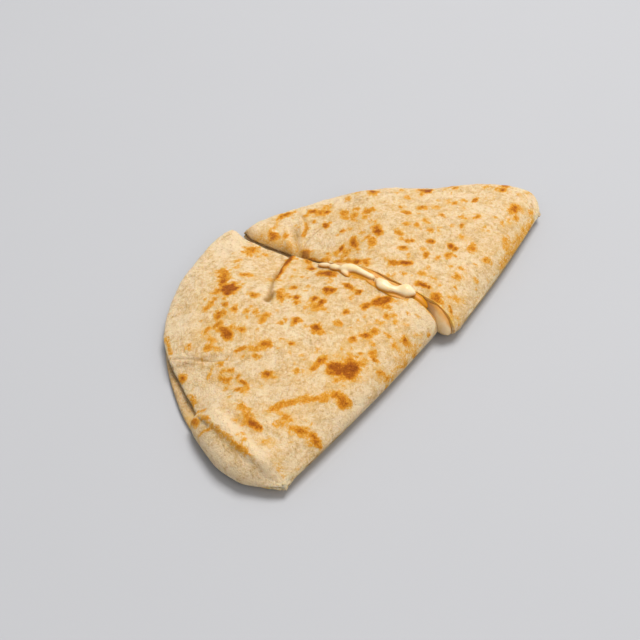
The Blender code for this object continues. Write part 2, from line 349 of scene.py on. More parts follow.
@dataclass(frozen=True)
class ToastedTortilla:
    """Flour tortilla toasted on a griddle: pale skin, golden halos and browned blisters."""

    skin: Colour = (0.79, 0.575, 0.325)
    # Pale skin colour, also used for the painted highlight on the near ridge's crest.
    flour: Colour = (0.88, 0.70, 0.46)
    mottle: Colour = (0.63, 0.39, 0.155)
    fleck: Colour = (0.44, 0.24, 0.08)
    straw: Colour = (0.78, 0.47, 0.15)
    gold: Colour = (0.77, 0.36, 0.038)
    amber: Colour = (0.64, 0.23, 0.008)
    brown: Colour = (0.38, 0.098, 0.003)
    char: Colour = (0.24, 0.052, 0.001)
    # Oil-soaked amber, made brighter than the tortilla's own colour as a painted glow of light through the
    # translucent cut edges.
    oiled_with_painted_glow: Colour = (1.0, 0.61, 0.12)
    crumb: Colour = (0.93, 0.66, 0.30)
    # The dark brown of the painted shade in creases and gaps.
    groove: Colour = (0.37, 0.19, 0.045)

    def material(self, name: str) -> bpy.types.Material:
        """Build the material.

        Args:
            name: The material's name.

        Returns:
            The material, which reads the values painted on the mesh.
        """
        shader = Shader(name)
        at = shader.position()
        broad = shader.noise(at, 9.0, 3.0, 0.6)
        patches = shader.noise(at, 3.2, 4.0, 0.66, 0.6)
        grain = shader.noise(at, 1.15, 4.0, 0.72, 0.3)
        fine = shader.noise(at, 0.50, 3.0, 0.70)
        veins = shader.noise(at, 6.0, 3.0, 0.60, 1.4)
        wrinkle = (1.0 - (veins - 0.5).size().between(0.0, 0.022)) * patches.between(0.46, 0.60)

        skin = shader.mix(patches.between(0.45, 0.66) * 0.55, self.skin, self.mottle)
        skin = shader.mix(grain.between(0.49, 0.66) * 0.60, skin, self.mottle)
        skin = shader.mix(fine.between(0.50, 0.66) * 0.35, skin, self.mottle)
        light = (1.0 - patches).between(0.46, 0.62) * 0.55 + (1.0 - grain).between(0.47, 0.60) * 0.65
        # The painted paleness includes a painted highlight on the near ridge's crest.
        light = light + (1.0 - fine).between(0.52, 0.64) * 0.25 + shader.painted(Painted.FLOUR.value)
        skin = shader.mix(light.held() * 0.90, skin, self.flour)
        warmth = shader.painted(Painted.WARMTH.value)
        warm = broad.between(0.42, 0.64) * 0.32 + warmth * 0.92
        warm = warm * (0.25 + patches.between(0.40, 0.60) * 0.60 + grain.between(0.42, 0.60) * 0.45)
        warm = warm * (1.0 - shader.painted(Painted.FLOUR.value) * 0.7)
        skin = shader.mix(warm.held(), skin, self.straw)
        skin = shader.mix(grain.between(0.58, 0.70) * patches.between(0.44, 0.58) * 0.75, skin, self.fleck)
        skin = shader.mix(wrinkle * 0.35, skin, self.fleck)
        specks = shader.noise(at, 0.75, 1.0).between(0.735, 0.775)
        skin = shader.mix(specks * 0.7, skin, self.brown)

        toast = shader.painted(Painted.TOAST.value)
        ragged = (grain - 0.5) * 1.45 + (fine - 0.5) * 1.25 + (patches - 0.5) * 0.65
        level = toast + ragged * toast.between(0.02, 0.30) * 0.85
        colour = shader.mix(level.between(0.05, 0.26) * 0.9, skin, self.straw)
        colour = shader.mix(level.between(0.14, 0.38), colour, self.gold)
        colour = shader.mix(level.between(0.34, 0.66), colour, self.amber)
        colour = shader.mix(level.between(0.62, 0.94), colour, self.brown)
        colour = shader.mix(level.between(0.94, 1.30), colour, self.char)
        # Painted shade: creases, gaps and the inner faces darken towards the groove colour.
        colour = shader.mix(shader.painted(Painted.CREASE.value), colour, self.groove)
        oil = shader.painted(Painted.OIL.value)
        crumb = shader.painted(Painted.CRUMB.value)
        colour = shader.mix(crumb, colour, self.crumb)
        # Oil soak, with its colour brightened as a painted glow.
        colour = shader.mix(oil * (0.8 + (patches - 0.5) * 0.8), colour, self.oiled_with_painted_glow)

        relief = (patches - 0.5) * 0.8 + (grain - 0.5) * 0.8 + (fine - 0.5) * 0.45 - wrinkle * 0.12
        normal = shader.bump(relief, 1.0)
        roughness = 0.66 + (grain - 0.5) * 0.2 - oil * 0.28 - level.between(0.3, 0.9) * 0.12
        return shader.finish(
            Base_Color=colour,
            Roughness=roughness,
            Normal=normal,
            Specular_IOR_Level=0.16,
            Subsurface_Weight=0.30,
            Subsurface_Radius=(1.0, 0.55, 0.22),
            Subsurface_Scale=1.8 * MM,
        )


@dataclass(frozen=True)
class MeltedCheese:
    """Melted cheese: creamy, a little translucent and glossy, with an oily amber tinge where thin."""

    cream: Colour = (0.88, 0.73, 0.48)
    butter: Colour = (0.83, 0.62, 0.29)
    amber: Colour = (0.60, 0.245, 0.004)
    toasted: Colour = (0.60, 0.33, 0.08)

    def material(self, name: str) -> bpy.types.Material:
        """Build the material.

        Args:
            name: The material's name.

        Returns:
            The material, which reads the oil painted on the mesh.
        """
        shader = Shader(name)
        at = shader.position()
        clouds = shader.noise(at, 4.0, 3.0)
        lumps = shader.noise(at, 1.3, 3.0)
        colour = shader.mix(clouds.between(0.42, 0.64) * 0.55, self.cream, self.butter)
        oil = (shader.painted(Painted.OIL.value) + (lumps - 0.5) * 0.25).held()
        colour = shader.mix(oil, colour, self.amber)
        colour = shader.mix(shader.painted(Painted.TOAST.value), colour, self.toasted)
        normal = shader.bump((clouds - 0.5) * 0.6 + (lumps - 0.5) * 0.3, 0.2)
        return shader.finish(
            Base_Color=colour,
            Roughness=0.22 + (lumps - 0.5) * 0.15 + oil * 0.16,
            Normal=normal,
            Subsurface_Weight=0.35,
            Subsurface_Radius=(1.0, 0.80, 0.45),
            Subsurface_Scale=1.4 * MM,
            Specular_IOR_Level=0.30,
        )


@dataclass(frozen=True)
class PaleFloor:
    """A plain pale studio floor."""

    colour: Colour = (0.47, 0.48, 0.51)

    def material(self, name: str) -> bpy.types.Material:
        """Build the material under the given name."""
        shader = Shader(name)
        cloud = shader.noise(shader.position(), 60.0, 2.0)
        darker = tuple(0.985 * part for part in self.colour)
        return shader.finish(Base_Color=shader.mix(cloud, self.colour, darker), Roughness=0.85)


# --------------------------------------------------------------------------- the form of a wedge


@dataclass(frozen=True)
class Fold:
    """How the sheet turns over at the fold, the same for both wedges."""

    sheet: float = 2.3
    nose_height: float = 4.6
    depth: float = 11.5
    length: float = 15.0
    squareness: float = 1.12
    bow_reach: float = 30.0

    def bend(self, arc: np.ndarray) -> tuple[np.ndarray, np.ndarray]:
        """Follow the sheet from the nose of the fold.

        Args:
            arc: Distances along the sheet.

        Returns:
            How far in from the nose the sheet is, and how far through its turn, 0 to 1.
        """
        turn = np.clip(arc / self.length, 0.0, 1.0) * math.pi / 2
        depth = self.depth * (1.0 - np.cos(turn) ** self.squareness)
        return depth + np.maximum(arc - self.length, 0.0), np.sin(turn) ** self.squareness


@dataclass(frozen=True)
class Top:
    """The heights that the top leaf takes over a wedge."""

    plateau: float = 14.0
    rim_rise: float = 40.0
    edge_height: float = 5.2
    cut_profile: Line = (
        (0, 13.8), (22, 14.4), (34, 15.1), (45, 12.6), (54, 8.4), (60, 6.7), (64, 5.8), (69, 5.15),
        (78, 5.0), (102, 5.0),
    )
    cut_reach: float = 30.0
    cut_reach_growth: float = 0.2
    shoulder_start: float = 8.0
    shoulder_fade: float = 7.0
    shoulder_bulge: float = 7.0
    shoulder_drop: float = 0.38
    shoulder_fall: Place = (8.0, 20.0)
    valley_depth: float = 0.16
    valley_place: float = 14.5
    valley_width: float = 5.0
    step_line: Line = ((0, 69.5), (9, 68), (19, 64), (26, 61.4), (30, 58), (34, 54.7))
    step_height: float = 2.2
    step_width: float = 3.0
    step_fade: float = 10.0
    tear_line: Line = ((80, 66), (74, 60), (67, 53), (61, 44))
    tear_width: float = 2.2
    tear_fade: float = 16.0
    rim_roll: Place = (1.0, 4.0)
    tip_start: float = 56.0
    tip_fade: float = 14.0


@dataclass(frozen=True)
class Scorch:
    """A toasted spot: a ragged oval on the sheet, darkest in the middle.

    Attributes:
        along: Its middle, down the fold.
        arc: Its middle, over the sheet.
        long: Half its length.
        wide: Half its width.
        lean: Degrees from the fold's direction to its long side.
        depth: How brown its middle is, 0 to 1.
    """

    along: float
    arc: float
    long: float
    wide: float
    lean: float
    depth: float


@dataclass(frozen=True)
class Streak:
    """A toasted line on the sheet."""

    line: Line
    width: float
    depth: float


@dataclass(frozen=True)
class Crease:
    """A groove or ridge in the sheet, which may also stand higher on its left side.

    Attributes:
        line: Its course.
        height: Height of the ridge, or depth of the groove where negative.
        width: How far it reaches to each side.
        step: How much higher the left side stands.
        reach: How far to the left it stays higher.
        shade_and_stain: How dark the line itself is, 0 to 1: painted shade in the crease, with some browning.
        soft: How wide the rise up the step is.
    """

    line: Line
    height: float
    width: float
    step: float = 0.0
    reach: float = 5.0
    shade_and_stain: float = 0.0
    soft: float = 0.8


@dataclass(frozen=True)
class Wedge:
    """The sizes of one wedge. A rim is pairs of degrees from the fold and plan radius."""

    name: str
    corner: Place
    fold_degrees: float
    hand: int
    sector: float
    fold_bow: float
    cut_shift: float
    top_rim: Line
    base_rim: Line
    filling_rim: Line
    shoulder: float
    shoulder_end: float
    tear_lift: float
    tip_roll: Place
    cut_trim: Line
    seed: int
    scorches: tuple[Scorch, ...]
    pale: tuple[Scorch, ...]
    streaks: tuple[Streak, ...]
    creases: tuple[Crease, ...]
    fold: Fold = Fold()
    top: Top = Top()

    def top_height(self, x: np.ndarray, y: np.ndarray) -> np.ndarray:
        """Find the height of the top leaf's outer face.

        Args:
            x: Places down the fold from the cut.
            y: Places in from the fold.

        Returns:
            Heights over the ground, away from the bend.
        """
        top = self.top
        radius = np.hypot(x, y)
        degrees = np.degrees(np.arctan2(y, x))
        inset = smooth_curve(self.top_rim, degrees) - radius
        fading = (degrees - self.shoulder_end) / top.shoulder_fade
        shoulder = self.shoulder * eased(degrees / top.shoulder_start) * (1.0 - eased(fading + 0.7))
        climb = np.clip(inset / top.rim_rise, 0.0, 1.0)
        height = top.edge_height + (top.plateau - top.edge_height) * climb * (2.0 - climb)
        height += shoulder * (rounded(inset / top.shoulder_bulge) - top.shoulder_drop)
        fallen = eased((inset - top.shoulder_fall[0]) / top.shoulder_fall[1])
        height -= shoulder * (1.0 - top.shoulder_drop) * fallen
        height -= shoulder * top.valley_depth * hump((inset - top.valley_place) / top.valley_width)
        from_cut = x - y / math.tan(math.radians(self.sector))
        by_cut = 1.0 - eased(from_cut / (top.cut_reach + top.cut_reach_growth * y))
        height += (smooth_curve(top.cut_profile, y - self.cut_shift) - height) * by_cut
        height -= top.rim_roll[0] * (1.0 - rounded(inset / top.rim_roll[1]))
        by_tip = eased((y - top.tip_start) / top.tip_fade)
        height -= self.tip_roll[0] * by_tip * (1.0 - rounded((from_cut + 0.4) / self.tip_roll[1]))
        if self.tear_lift:
            beside, along = beside_line(top.step_line, x, y)
            held = hump(along) * np.exp(-np.abs(beside) / top.step_fade)
            height += top.step_height * held * eased(0.5 - beside / top.step_width)
            beside, along = beside_line(top.tear_line, x, y)
            held = (1.0 - eased(2.0 * along - 1.0)) * eased(beside / top.tear_fade + 1.0)
            height += self.tear_lift * held * eased(0.5 - beside / top.tear_width)
        return height

    def skin_height(self, x: np.ndarray, y: np.ndarray) -> np.ndarray:
        """Return the height of the top leaf's outer face, the bend with it."""
        arc = np.linspace(0.0, 130.0, 1301)
        depth, turned = self.fold.bend(arc)
        share = np.interp(y, depth, turned)
        return self.fold.nose_height + (self.top_height(x, y) - self.fold.nose_height) * share

    def own_plan(self, places: np.ndarray) -> tuple[np.ndarray, np.ndarray]:
        """Return placed points' places in the wedge's own plan, in millimetres."""
        fold = math.radians(self.fold_degrees)
        across = fold + self.hand * math.pi / 2
        x, y = places[:, 0] - self.corner[0], places[:, 1] - self.corner[1]
        return x * math.cos(fold) + y * math.sin(fold), x * math.cos(across) + y * math.sin(across)

    def reach(self, rim: Line, direction: np.ndarray) -> np.ndarray:
        """Find how far along the unrolled sheet a rim lies.

        Args:
            rim: The rim.
            direction: Directions from the corner, in radians from the fold.

        Returns:
            The distance to the rim in each direction.
        """
        near, beyond = np.zeros(np.shape(direction)), np.full(np.shape(direction), 130.0)
        for _ in range(26):
            middle = (near + beyond) / 2
            x = middle * np.cos(direction)
            y = self.fold.bend(middle * np.sin(direction))[0]
            outside = np.hypot(x, y) > smooth_curve(rim, np.degrees(np.arctan2(y, x)))
            near, beyond = np.where(outside, near, middle), np.where(outside, middle, beyond)
        return (near + beyond) / 2

    def placed(self, x: np.ndarray, y: np.ndarray, z: np.ndarray) -> np.ndarray:
        """Place points of the wedge's own plan in the whole quesadilla, in millimetres."""
        fold = math.radians(self.fold_degrees)
        across = fold + self.hand * math.pi / 2
        placed_x = self.corner[0] + x * math.cos(fold) + y * math.cos(across)
        placed_y = self.corner[1] + x * math.sin(fold) + y * math.sin(across)
        return np.stack([placed_x, placed_y, z], axis=-1)


@dataclass
class SheetPlaces:
    """Where the nodes of a grid lie on a wedge's folded sheet.

    Attributes:
        wedge: The wedge.
        u: The grid's places on a unit half disc, down the fold.
        w: The same, over the sheet: -1 to 0 on the base leaf, 0 to 1 on the top leaf.
        filling: True for the filling's shorter rim.
    """

    wedge: Wedge
    u: np.ndarray
    w: np.ndarray
    filling: bool = False
    along: np.ndarray = field(init=False)
    arc: np.ndarray = field(init=False)
    inset: np.ndarray = field(init=False)
    from_cut: np.ndarray = field(init=False)
    points: np.ndarray = field(init=False)
    turned: np.ndarray = field(init=False)

    def __post_init__(self) -> None:
        """Roll the flat half disc round the fold."""
        wedge, fold = self.wedge, self.wedge.fold
        top = wedge.filling_rim if self.filling else wedge.top_rim
        base = wedge.filling_rim if self.filling else wedge.base_rim
        direction = np.arctan2(np.abs(self.w), self.u) * wedge.sector / 90.0
        longest = np.where(self.w >= 0.0, wedge.reach(top, direction), wedge.reach(base, direction))
        share = np.hypot(self.u, self.w)
        self.inset = longest * (1.0 - share)
        self.along = longest * share * np.cos(direction)
        self.arc = longest * share * np.sin(direction)
        y, self.turned = fold.bend(self.arc)
        height = wedge.top_height(self.along, y)
        bow = wedge.fold_bow * np.sin(math.pi * np.clip(self.along / top[0][1], 0.0, 1.0))
        y = y - bow * (1.0 - eased(y / fold.bow_reach))
        self.from_cut = self.along - y / math.tan(math.radians(wedge.sector))
        trim = smooth_curve(wedge.cut_trim, self.arc) * (1.0 - eased(self.from_cut / 14.0))
        top_z = fold.nose_height + (height - fold.nose_height) * self.turned
        base_z = fold.nose_height * (1.0 - self.turned)
        self.points = wedge.placed(self.along + trim, y, np.where(self.w >= 0.0, top_z, base_z))

    def squeezed(self) -> np.ndarray:
        """Return the sheet's thickness where the cut has pressed it by the fold, as a share."""
        by_fold = 1.0 - eased((self.arc - 18.0) / 14.0)
        return 1.0 - 0.45 * by_fold * (1.0 - eased(self.from_cut / 4.0))

    def facing(self) -> np.ndarray:
        """Return unit normals pointing away from the filling."""
        normals = np.cross(np.gradient(self.points, axis=0), np.gradient(self.points, axis=1))
        normals *= self.wedge.hand
        return normals / np.linalg.norm(normals, axis=-1, keepdims=True)


def half_disc(a: np.ndarray, b: np.ndarray) -> tuple[np.ndarray, np.ndarray]:
    """Spread a rectangle (a from 0 to 1, b from -1 to 1) evenly over the unit half disc."""
    return a * np.sqrt(1.0 - b * b / 2.0), b * np.sqrt(1.0 - a * a / 2.0)


# --------------------------------------------------------------------------- mesh helpers


def select_only(piece: bpy.types.Object) -> None:
    """Make a piece the only one selected, and the active one."""
    bpy.ops.object.select_all(action="DESELECT")
    piece.select_set(True)
    bpy.context.view_layer.objects.active = piece


def add_grid(name: str, columns: int, rows: int) -> tuple[bpy.types.Object, np.ndarray]:
    """Add a flat grid.

    Args:
        name: The piece's name.
        columns: Points along X.
        rows: Points along Y.

    Returns:
        The piece, and the order of its vertices from column to column and row to row.
    """
    bpy.ops.object.select_all(action="DESELECT")
    bpy.ops.mesh.primitive_grid_add(x_subdivisions=columns - 1, y_subdivisions=rows - 1, size=2.0)
    piece = bpy.context.active_object
    piece.name = piece.data.name = name
    flat = vertex_places(piece)
    order = np.lexsort((np.round(flat[:, 1], 5), np.round(flat[:, 0], 5)))
    if len(order) != columns * rows:
        raise ValueError(f"the grid of {name} has {len(order)} points, not {columns * rows}")
    return piece, order


def vertex_places(piece: bpy.types.Object) -> np.ndarray:
    """Return the places of a mesh's vertices."""
    flat = np.empty(len(piece.data.vertices) * 3, np.float32)
    piece.data.vertices.foreach_get("co", flat)
    return flat.reshape(-1, 3).astype(float)


def move_vertices(piece: bpy.types.Object, places: np.ndarray) -> None:
    """Put a mesh's vertices at new places, in metres."""
    piece.data.vertices.foreach_set("co", places.astype(np.float32).reshape(-1))
    piece.data.update()


def apply_modifier(piece: bpy.types.Object, kind: str, **settings: Any) -> None:
    """Add a modifier with its settings and apply it."""
    select_only(piece)
    modifier = piece.modifiers.new(kind.lower(), kind)
    for name, value in settings.items():
        setattr(modifier, name, value)
    bpy.ops.object.modifier_apply(modifier=modifier.name)


def paint(piece: bpy.types.Object, values: dict[Painted, np.ndarray]) -> None:
    """Store painted values on a mesh's vertices."""
    for kind, amounts in values.items():
        layer = piece.data.attributes.new(kind.value, "FLOAT", "POINT")
        layer.data.foreach_set("value", np.clip(amounts, 0.0, 1.0).astype(np.float32))


def dress(piece: bpy.types.Object, finish: bpy.types.Material, nodes: Iterable[str]) -> None:
    """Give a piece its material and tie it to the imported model.

    Args:
        piece: The piece.
        finish: Its material.
        nodes: The solids that it stands for.
    """
    piece.data.materials.clear()
    piece.data.materials.append(finish)
    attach(piece, "root")
    for node in nodes:
        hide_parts(node)
    LOG.info("%s: %d faces", piece.name, len(piece.data.polygons))


# --------------------------------------------------------------------------- the tortilla


@dataclass
class Tortilla:
    """A wedge's folded sheet of toasted tortilla."""

    wedge: Wedge
    columns: int = 176
    base_rows: int = 34
    bend_rows: int = 12
    top_rows: int = 168
    bend_share: float = 0.17
    edge_steps: tuple[float, ...] = (0.0, 0.09, 0.28, 0.56, 0.90, 1.32)
    rim_radius: float = 1.15
    cut_radius: float = 0.9
    tip_radius: float = 2.4
    freckles: int = 170
    spot_growth: float = 1.15
    spot_rim: float = 0.30
    halo: float = 2.0

    def places_along(self, last: float, count: int, both: bool) -> np.ndarray:
        """Space grid lines from 0 to a last value of 1, closer by the edges.

        Args:
            last: The length of the side, in millimetres.
            count: How many lines.
            both: True to crowd both ends, False for the far end alone.

        Returns:
            The lines' places.
        """
        steps = np.array(self.edge_steps) / last
        start = steps if both else steps[:1]
        inner = np.linspace(start[-1], 1.0 - steps[-1], count - len(start) - len(steps) + 2)
        return np.concatenate([start[:-1], inner, 1.0 - steps[::-1][1:]])

    def lattice(self) -> SheetPlaces:
        """Lay out the sheet's nodes, closest on the top leaf and by every edge."""
        rim = self.wedge.top_rim[-1][1]
        columns = self.places_along(rim, self.columns, both=True)
        top_length = 1.0 - self.bend_share
        top = self.bend_share + top_length * self.places_along(rim * top_length, self.top_rows, False)
        turn = np.linspace(-self.bend_share, self.bend_share, 2 * self.bend_rows + 1)
        base = -self.bend_share - top_length * self.places_along(
            rim * top_length, self.base_rows, False
        )
        rows = np.concatenate([base[::-1], turn[1:-1], top])
        u, w = half_disc(*np.meshgrid(columns, rows, indexing="ij"))
        return SheetPlaces(self.wedge, u, w)

    def edge_roundness(self, places: SheetPlaces) -> np.ndarray:
        """Return the sheet's thickness near its edges, as a share of the full one."""
        at_rim = 0.16 + 0.84 * rounded(places.inset / self.rim_radius)
        by_tip = eased((places.arc - 58.0) / 16.0)
        radius = self.cut_radius + (self.tip_radius - self.cut_radius) * by_tip
        least = 0.70 - 0.46 * by_tip
        at_cut = least + (1.0 - least) * rounded(places.from_cut / radius)
        return np.minimum(at_rim, at_cut) * places.squeezed()

    def toast(self, places: SheetPlaces) -> tuple[np.ndarray, np.ndarray]:
        """Work out how toasted the top leaf is.

        Args:
            places: The sheet's nodes.

        Returns:
            How brown each node is, and how warm the pale skin round the spots, both 0 to 1.
        """
        wedge = self.wedge
        along, arc = places.along, places.arc
        ragged = 0.30 * Drift(3.1, wedge.seed + 1).at(along, arc)
        ragged += 0.24 * Drift(1.3, wedge.seed + 2).at(along, arc)
        toasted = np.zeros(np.shape(along))
        warmth = np.zeros(np.shape(along))
        for spot in (*wedge.scorches, *self.faint_spots()):
            lean = math.radians(spot.lean)
            x, y = along - spot.along, arc - spot.arc
            down = x * math.cos(lean) + y * math.sin(lean)
            across = y * math.cos(lean) - x * math.sin(lean)
            long, wide = (self.spot_growth * half + self.spot_rim for half in (spot.long, spot.wide))
            distance = np.hypot(down / long, across / wide) + ragged
            level = 1.06 * spot.depth * (1.0 - eased((distance - 0.08) / 1.28))
            toasted = np.maximum(toasted, level) + 0.30 * np.minimum(toasted, level)
            spread = np.hypot(down / (long + self.halo), across / (wide + self.halo))
            warmth += 0.75 * spot.depth * np.exp(-1.6 * spread * spread)
        for streak in wedge.streaks:
            beside, share = beside_line(streak.line, along, arc)
            ends = eased(share / 0.12) * eased((1.0 - share) / 0.12)
            distance = np.abs(beside) / (self.spot_growth * streak.width) + ragged
            level = streak.depth * (1.0 - eased((distance - 0.10) / 1.35))
            toasted = np.maximum(toasted, level * (0.35 + 0.65 * ends))
            warmth += 0.6 * streak.depth * np.exp(-np.square(beside / (streak.width + self.halo)))
        skin = places.w >= 0.0
        return np.where(skin, toasted, 0.0), np.where(skin, 1.0 - np.exp(-warmth), 0.0)

    def faint_spots(self) -> list[Scorch]:
        """Return small faint spots strewn over the whole leaf."""
        random = np.random.default_rng(self.wedge.seed)
        found = []
        for _ in range(self.freckles):
            reach = 92.0 * math.sqrt(random.uniform(0.0, 1.0))
            turn = random.uniform(0.0, math.radians(self.wedge.sector))
            found.append(
                Scorch(
                    along=reach * math.cos(turn),
                    arc=reach * math.sin(turn) + 2.0,
                    long=random.uniform(0.5, 1.6),
                    wide=random.uniform(0.4, 1.0),
                    lean=random.uniform(-40.0, 40.0),
                    depth=random.uniform(0.10, 0.36),
                )
            )
        return found

    def relief(self, places: SheetPlaces, toast: np.ndarray) -> tuple[np.ndarray, np.ndarray]:
        """Work out the skin's puffs, creases and blisters.

        Args:
            places: The sheet's nodes.
            toast: How toasted they are.

        Returns:
            Heights over the plain skin, and how darkly each node lies in a crease, as painted shade with some
            browning.
        """
        wedge = self.wedge
        along, arc = places.along, places.arc
        height = 0.38 * Drift(17.0, wedge.seed + 3).at(along, arc)
        height += 0.27 * Drift(7.5, wedge.seed + 4).at(along, arc)
        height += 0.16 * Drift(3.6, wedge.seed + 5).at(along, arc)
        height += 0.09 * Drift(1.7, wedge.seed + 6).at(along, arc)
        height += 0.14 * eased(toast / 0.7)
        shade_and_stain = np.zeros(np.shape(along))
        for crease in wedge.creases:
            beside, share = beside_line(crease.line, along, arc)
            ends = eased(share / 0.25) * eased((1.0 - share) / 0.25)
            height += crease.height * ends * hump(beside / crease.width)
            if crease.step:
                fallen = eased((beside - 0.75 * crease.soft) / crease.reach)
                lifted = eased(0.5 + beside / crease.soft) * (1.0 - fallen)
                height += crease.step * ends * lifted
            # The crease line is darkened as painted shade, with some browning.
            shade_and_stain = np.maximum(shade_and_stain, crease.shade_and_stain * ends * hump(beside / (0.8 * crease.width)))
        held = np.where(places.w >= 0.0, eased(places.turned / 0.35), 0.0)
        return height * held, shade_and_stain * held

    def build(self) -> bpy.types.Object:
        """Build the sheet.

        Returns:
            The finished mesh, painted but not dressed.
        """
        places = self.lattice()
        columns, rows = places.u.shape
        piece, order = add_grid(f"{self.wedge.name}_tortilla_sheet", columns, rows)
        facing = places.facing()
        middle = places.points - facing * (self.wedge.fold.sheet / 2)
        flat = np.empty((columns * rows, 3))
        flat[order] = middle.reshape(-1, 3) * MM
        move_vertices(piece, flat)
        if self.wedge.hand < 0:
            select_only(piece)
            bpy.ops.object.mode_set(mode="EDIT")
            bpy.ops.mesh.select_all(action="SELECT")
            bpy.ops.mesh.flip_normals()
            bpy.ops.object.mode_set(mode="OBJECT")
        thickness = np.empty(columns * rows)
        thickness[order] = self.edge_roundness(places).reshape(-1)
        group = piece.vertex_groups.new(name="thickness")
        for index, weight in enumerate(thickness):
            group.add((index,), float(weight), "REPLACE")
        apply_modifier(
            piece, "SOLIDIFY", thickness=self.wedge.fold.sheet * MM, offset=0.0, vertex_group="thickness",
        )
        self.finish_skin(piece, places, order, flat)
        return piece

    def finish_skin(
        self, piece: bpy.types.Object, places: SheetPlaces, order: np.ndarray, middle: np.ndarray
    ) -> None:
        """Raise the outer skin's relief and paint both faces.

        Args:
            piece: The thickened sheet, whose second half of vertices is the second face.
            places: The sheet's nodes.
            order: The order of the vertices.
            middle: Where the vertices of the flat sheet were.
        """
        toast, warmth = self.toast(places)
        height, shade_and_stain = self.relief(places, toast)
        roundness = self.edge_roundness(places)
        facing = places.facing().reshape(-1, 3)
        now = vertex_places(piece)
        count = len(order)
        outward = np.empty((count, 3))
        outward[order] = facing
        sides = [now[:count], now[count:]]
        outer = int(np.mean(np.sum((sides[1] - middle) * outward, axis=1)) > 0.0)
        rise = np.empty(count)
        rise[order] = (height * eased((roundness - 0.1) / 0.6)).reshape(-1)
        sides[outer] = sides[outer] + outward * rise[:, None] * MM
        sides[outer][:, 2] = np.maximum(sides[outer][:, 2], 0.0)
        move_vertices(piece, np.concatenate(sides))

        at_cut = 1.0 - eased(places.from_cut / 0.5)
        plain_cut = at_cut * (1.0 - 0.8 * eased((places.arc - 56.0) / 12.0)) * eased((places.arc - 12.0) / 6.0)
        oil = self.oil(places)
        flour = self.flour(places)
        layers = {
            Painted.TOAST: (toast, np.zeros_like(toast)),
            Painted.OIL: (oil, oil),
            Painted.CRUMB: (plain_cut, plain_cut),
            # The inner faces are painted darker as shade between the leaves, except at the cut.
            Painted.CREASE: (shade_and_stain, 0.35 * (1.0 - at_cut) * eased((places.arc - 12.0) / 6.0)),
            Painted.FLOUR: (flour, np.zeros_like(toast)),
            Painted.WARMTH: (warmth, np.zeros_like(toast)),
        }
        painted = {}
        for kind, faces in layers.items():
            both = [np.empty(count), np.empty(count)]
            both[outer][order] = faces[0].reshape(-1)
            both[1 - outer][order] = faces[1].reshape(-1)
            painted[kind] = np.concatenate(both)
        paint(piece, painted)
        select_only(piece)
        bpy.ops.object.shade_smooth_by_angle(angle=math.radians(50))

    def flour(self, places: SheetPlaces) -> np.ndarray:
        """Return where the skin is paler: in clouds, round the rim and in the wedge's pale patches, some of them a
        painted highlight on a crest.
        """
        along, arc = places.along, places.arc
        clouds = Drift(6.0, self.wedge.seed + 7).at(along, arc)
        amount = 0.30 * eased((clouds - 0.1) / 0.5) + 0.45 * (1.0 - eased((places.inset - 1.0) / 8.0))
        for patch in self.wedge.pale:
            lean = math.radians(patch.lean)
            x, y = along - patch.along, arc - patch.arc
            down = (x * math.cos(lean) + y * math.sin(lean)) / patch.long
            across = (y * math.cos(lean) - x * math.sin(lean)) / patch.wide
            amount += patch.depth * (1.0 - eased(np.hypot(down, across) - 0.4))
        return amount

    def oil(self, places: SheetPlaces) -> np.ndarray:
        """Return where the cheese's oil has soaked the sheet by the cut, 0 to 1."""
        wavy = Drift(5.0, self.wedge.seed + 8).at(places.along, places.arc)
        reach = 0.9 + 0.7 * wavy
        by_cheese = eased((places.arc - 2.0) / 3.0) * (1.0 - eased((places.arc - 42.0) / 12.0))
        by_cut = 1.0 - eased(places.from_cut / reach)
        return np.where(places.w >= 0.0, by_cheese * by_cut, 0.9 * by_cheese)


# --------------------------------------------------------------------------- the cheese


def outer_volume(piece: bpy.types.Object) -> float:
    """Return a closed mesh's volume, negative where its faces point inwards."""
    piece.data.calc_loop_triangles()
    corners = np.empty(len(piece.data.loop_triangles) * 3, np.int32)
    piece.data.loop_triangles.foreach_get("vertices", corners)
    first, second, third = (vertex_places(piece)[corners.reshape(-1, 3)[:, place]] for place in range(3))
    return float(np.sum(first * np.cross(second, third)) / 6.0)


def close_up(piece: bpy.types.Object) -> None:
    """Merge a mesh's doubled vertices and point its faces outwards."""
    select_only(piece)
    bpy.ops.object.mode_set(mode="EDIT")
    bpy.ops.mesh.select_all(action="SELECT")
    bpy.ops.mesh.remove_doubles(threshold=1e-6)
    bpy.ops.mesh.normals_make_consistent(inside=False)
    bpy.ops.object.mode_set(mode="OBJECT")
    if outer_volume(piece) < 0.0:
        bpy.ops.object.mode_set(mode="EDIT")
        bpy.ops.mesh.select_all(action="SELECT")
        bpy.ops.mesh.flip_normals()
        bpy.ops.object.mode_set(mode="OBJECT")


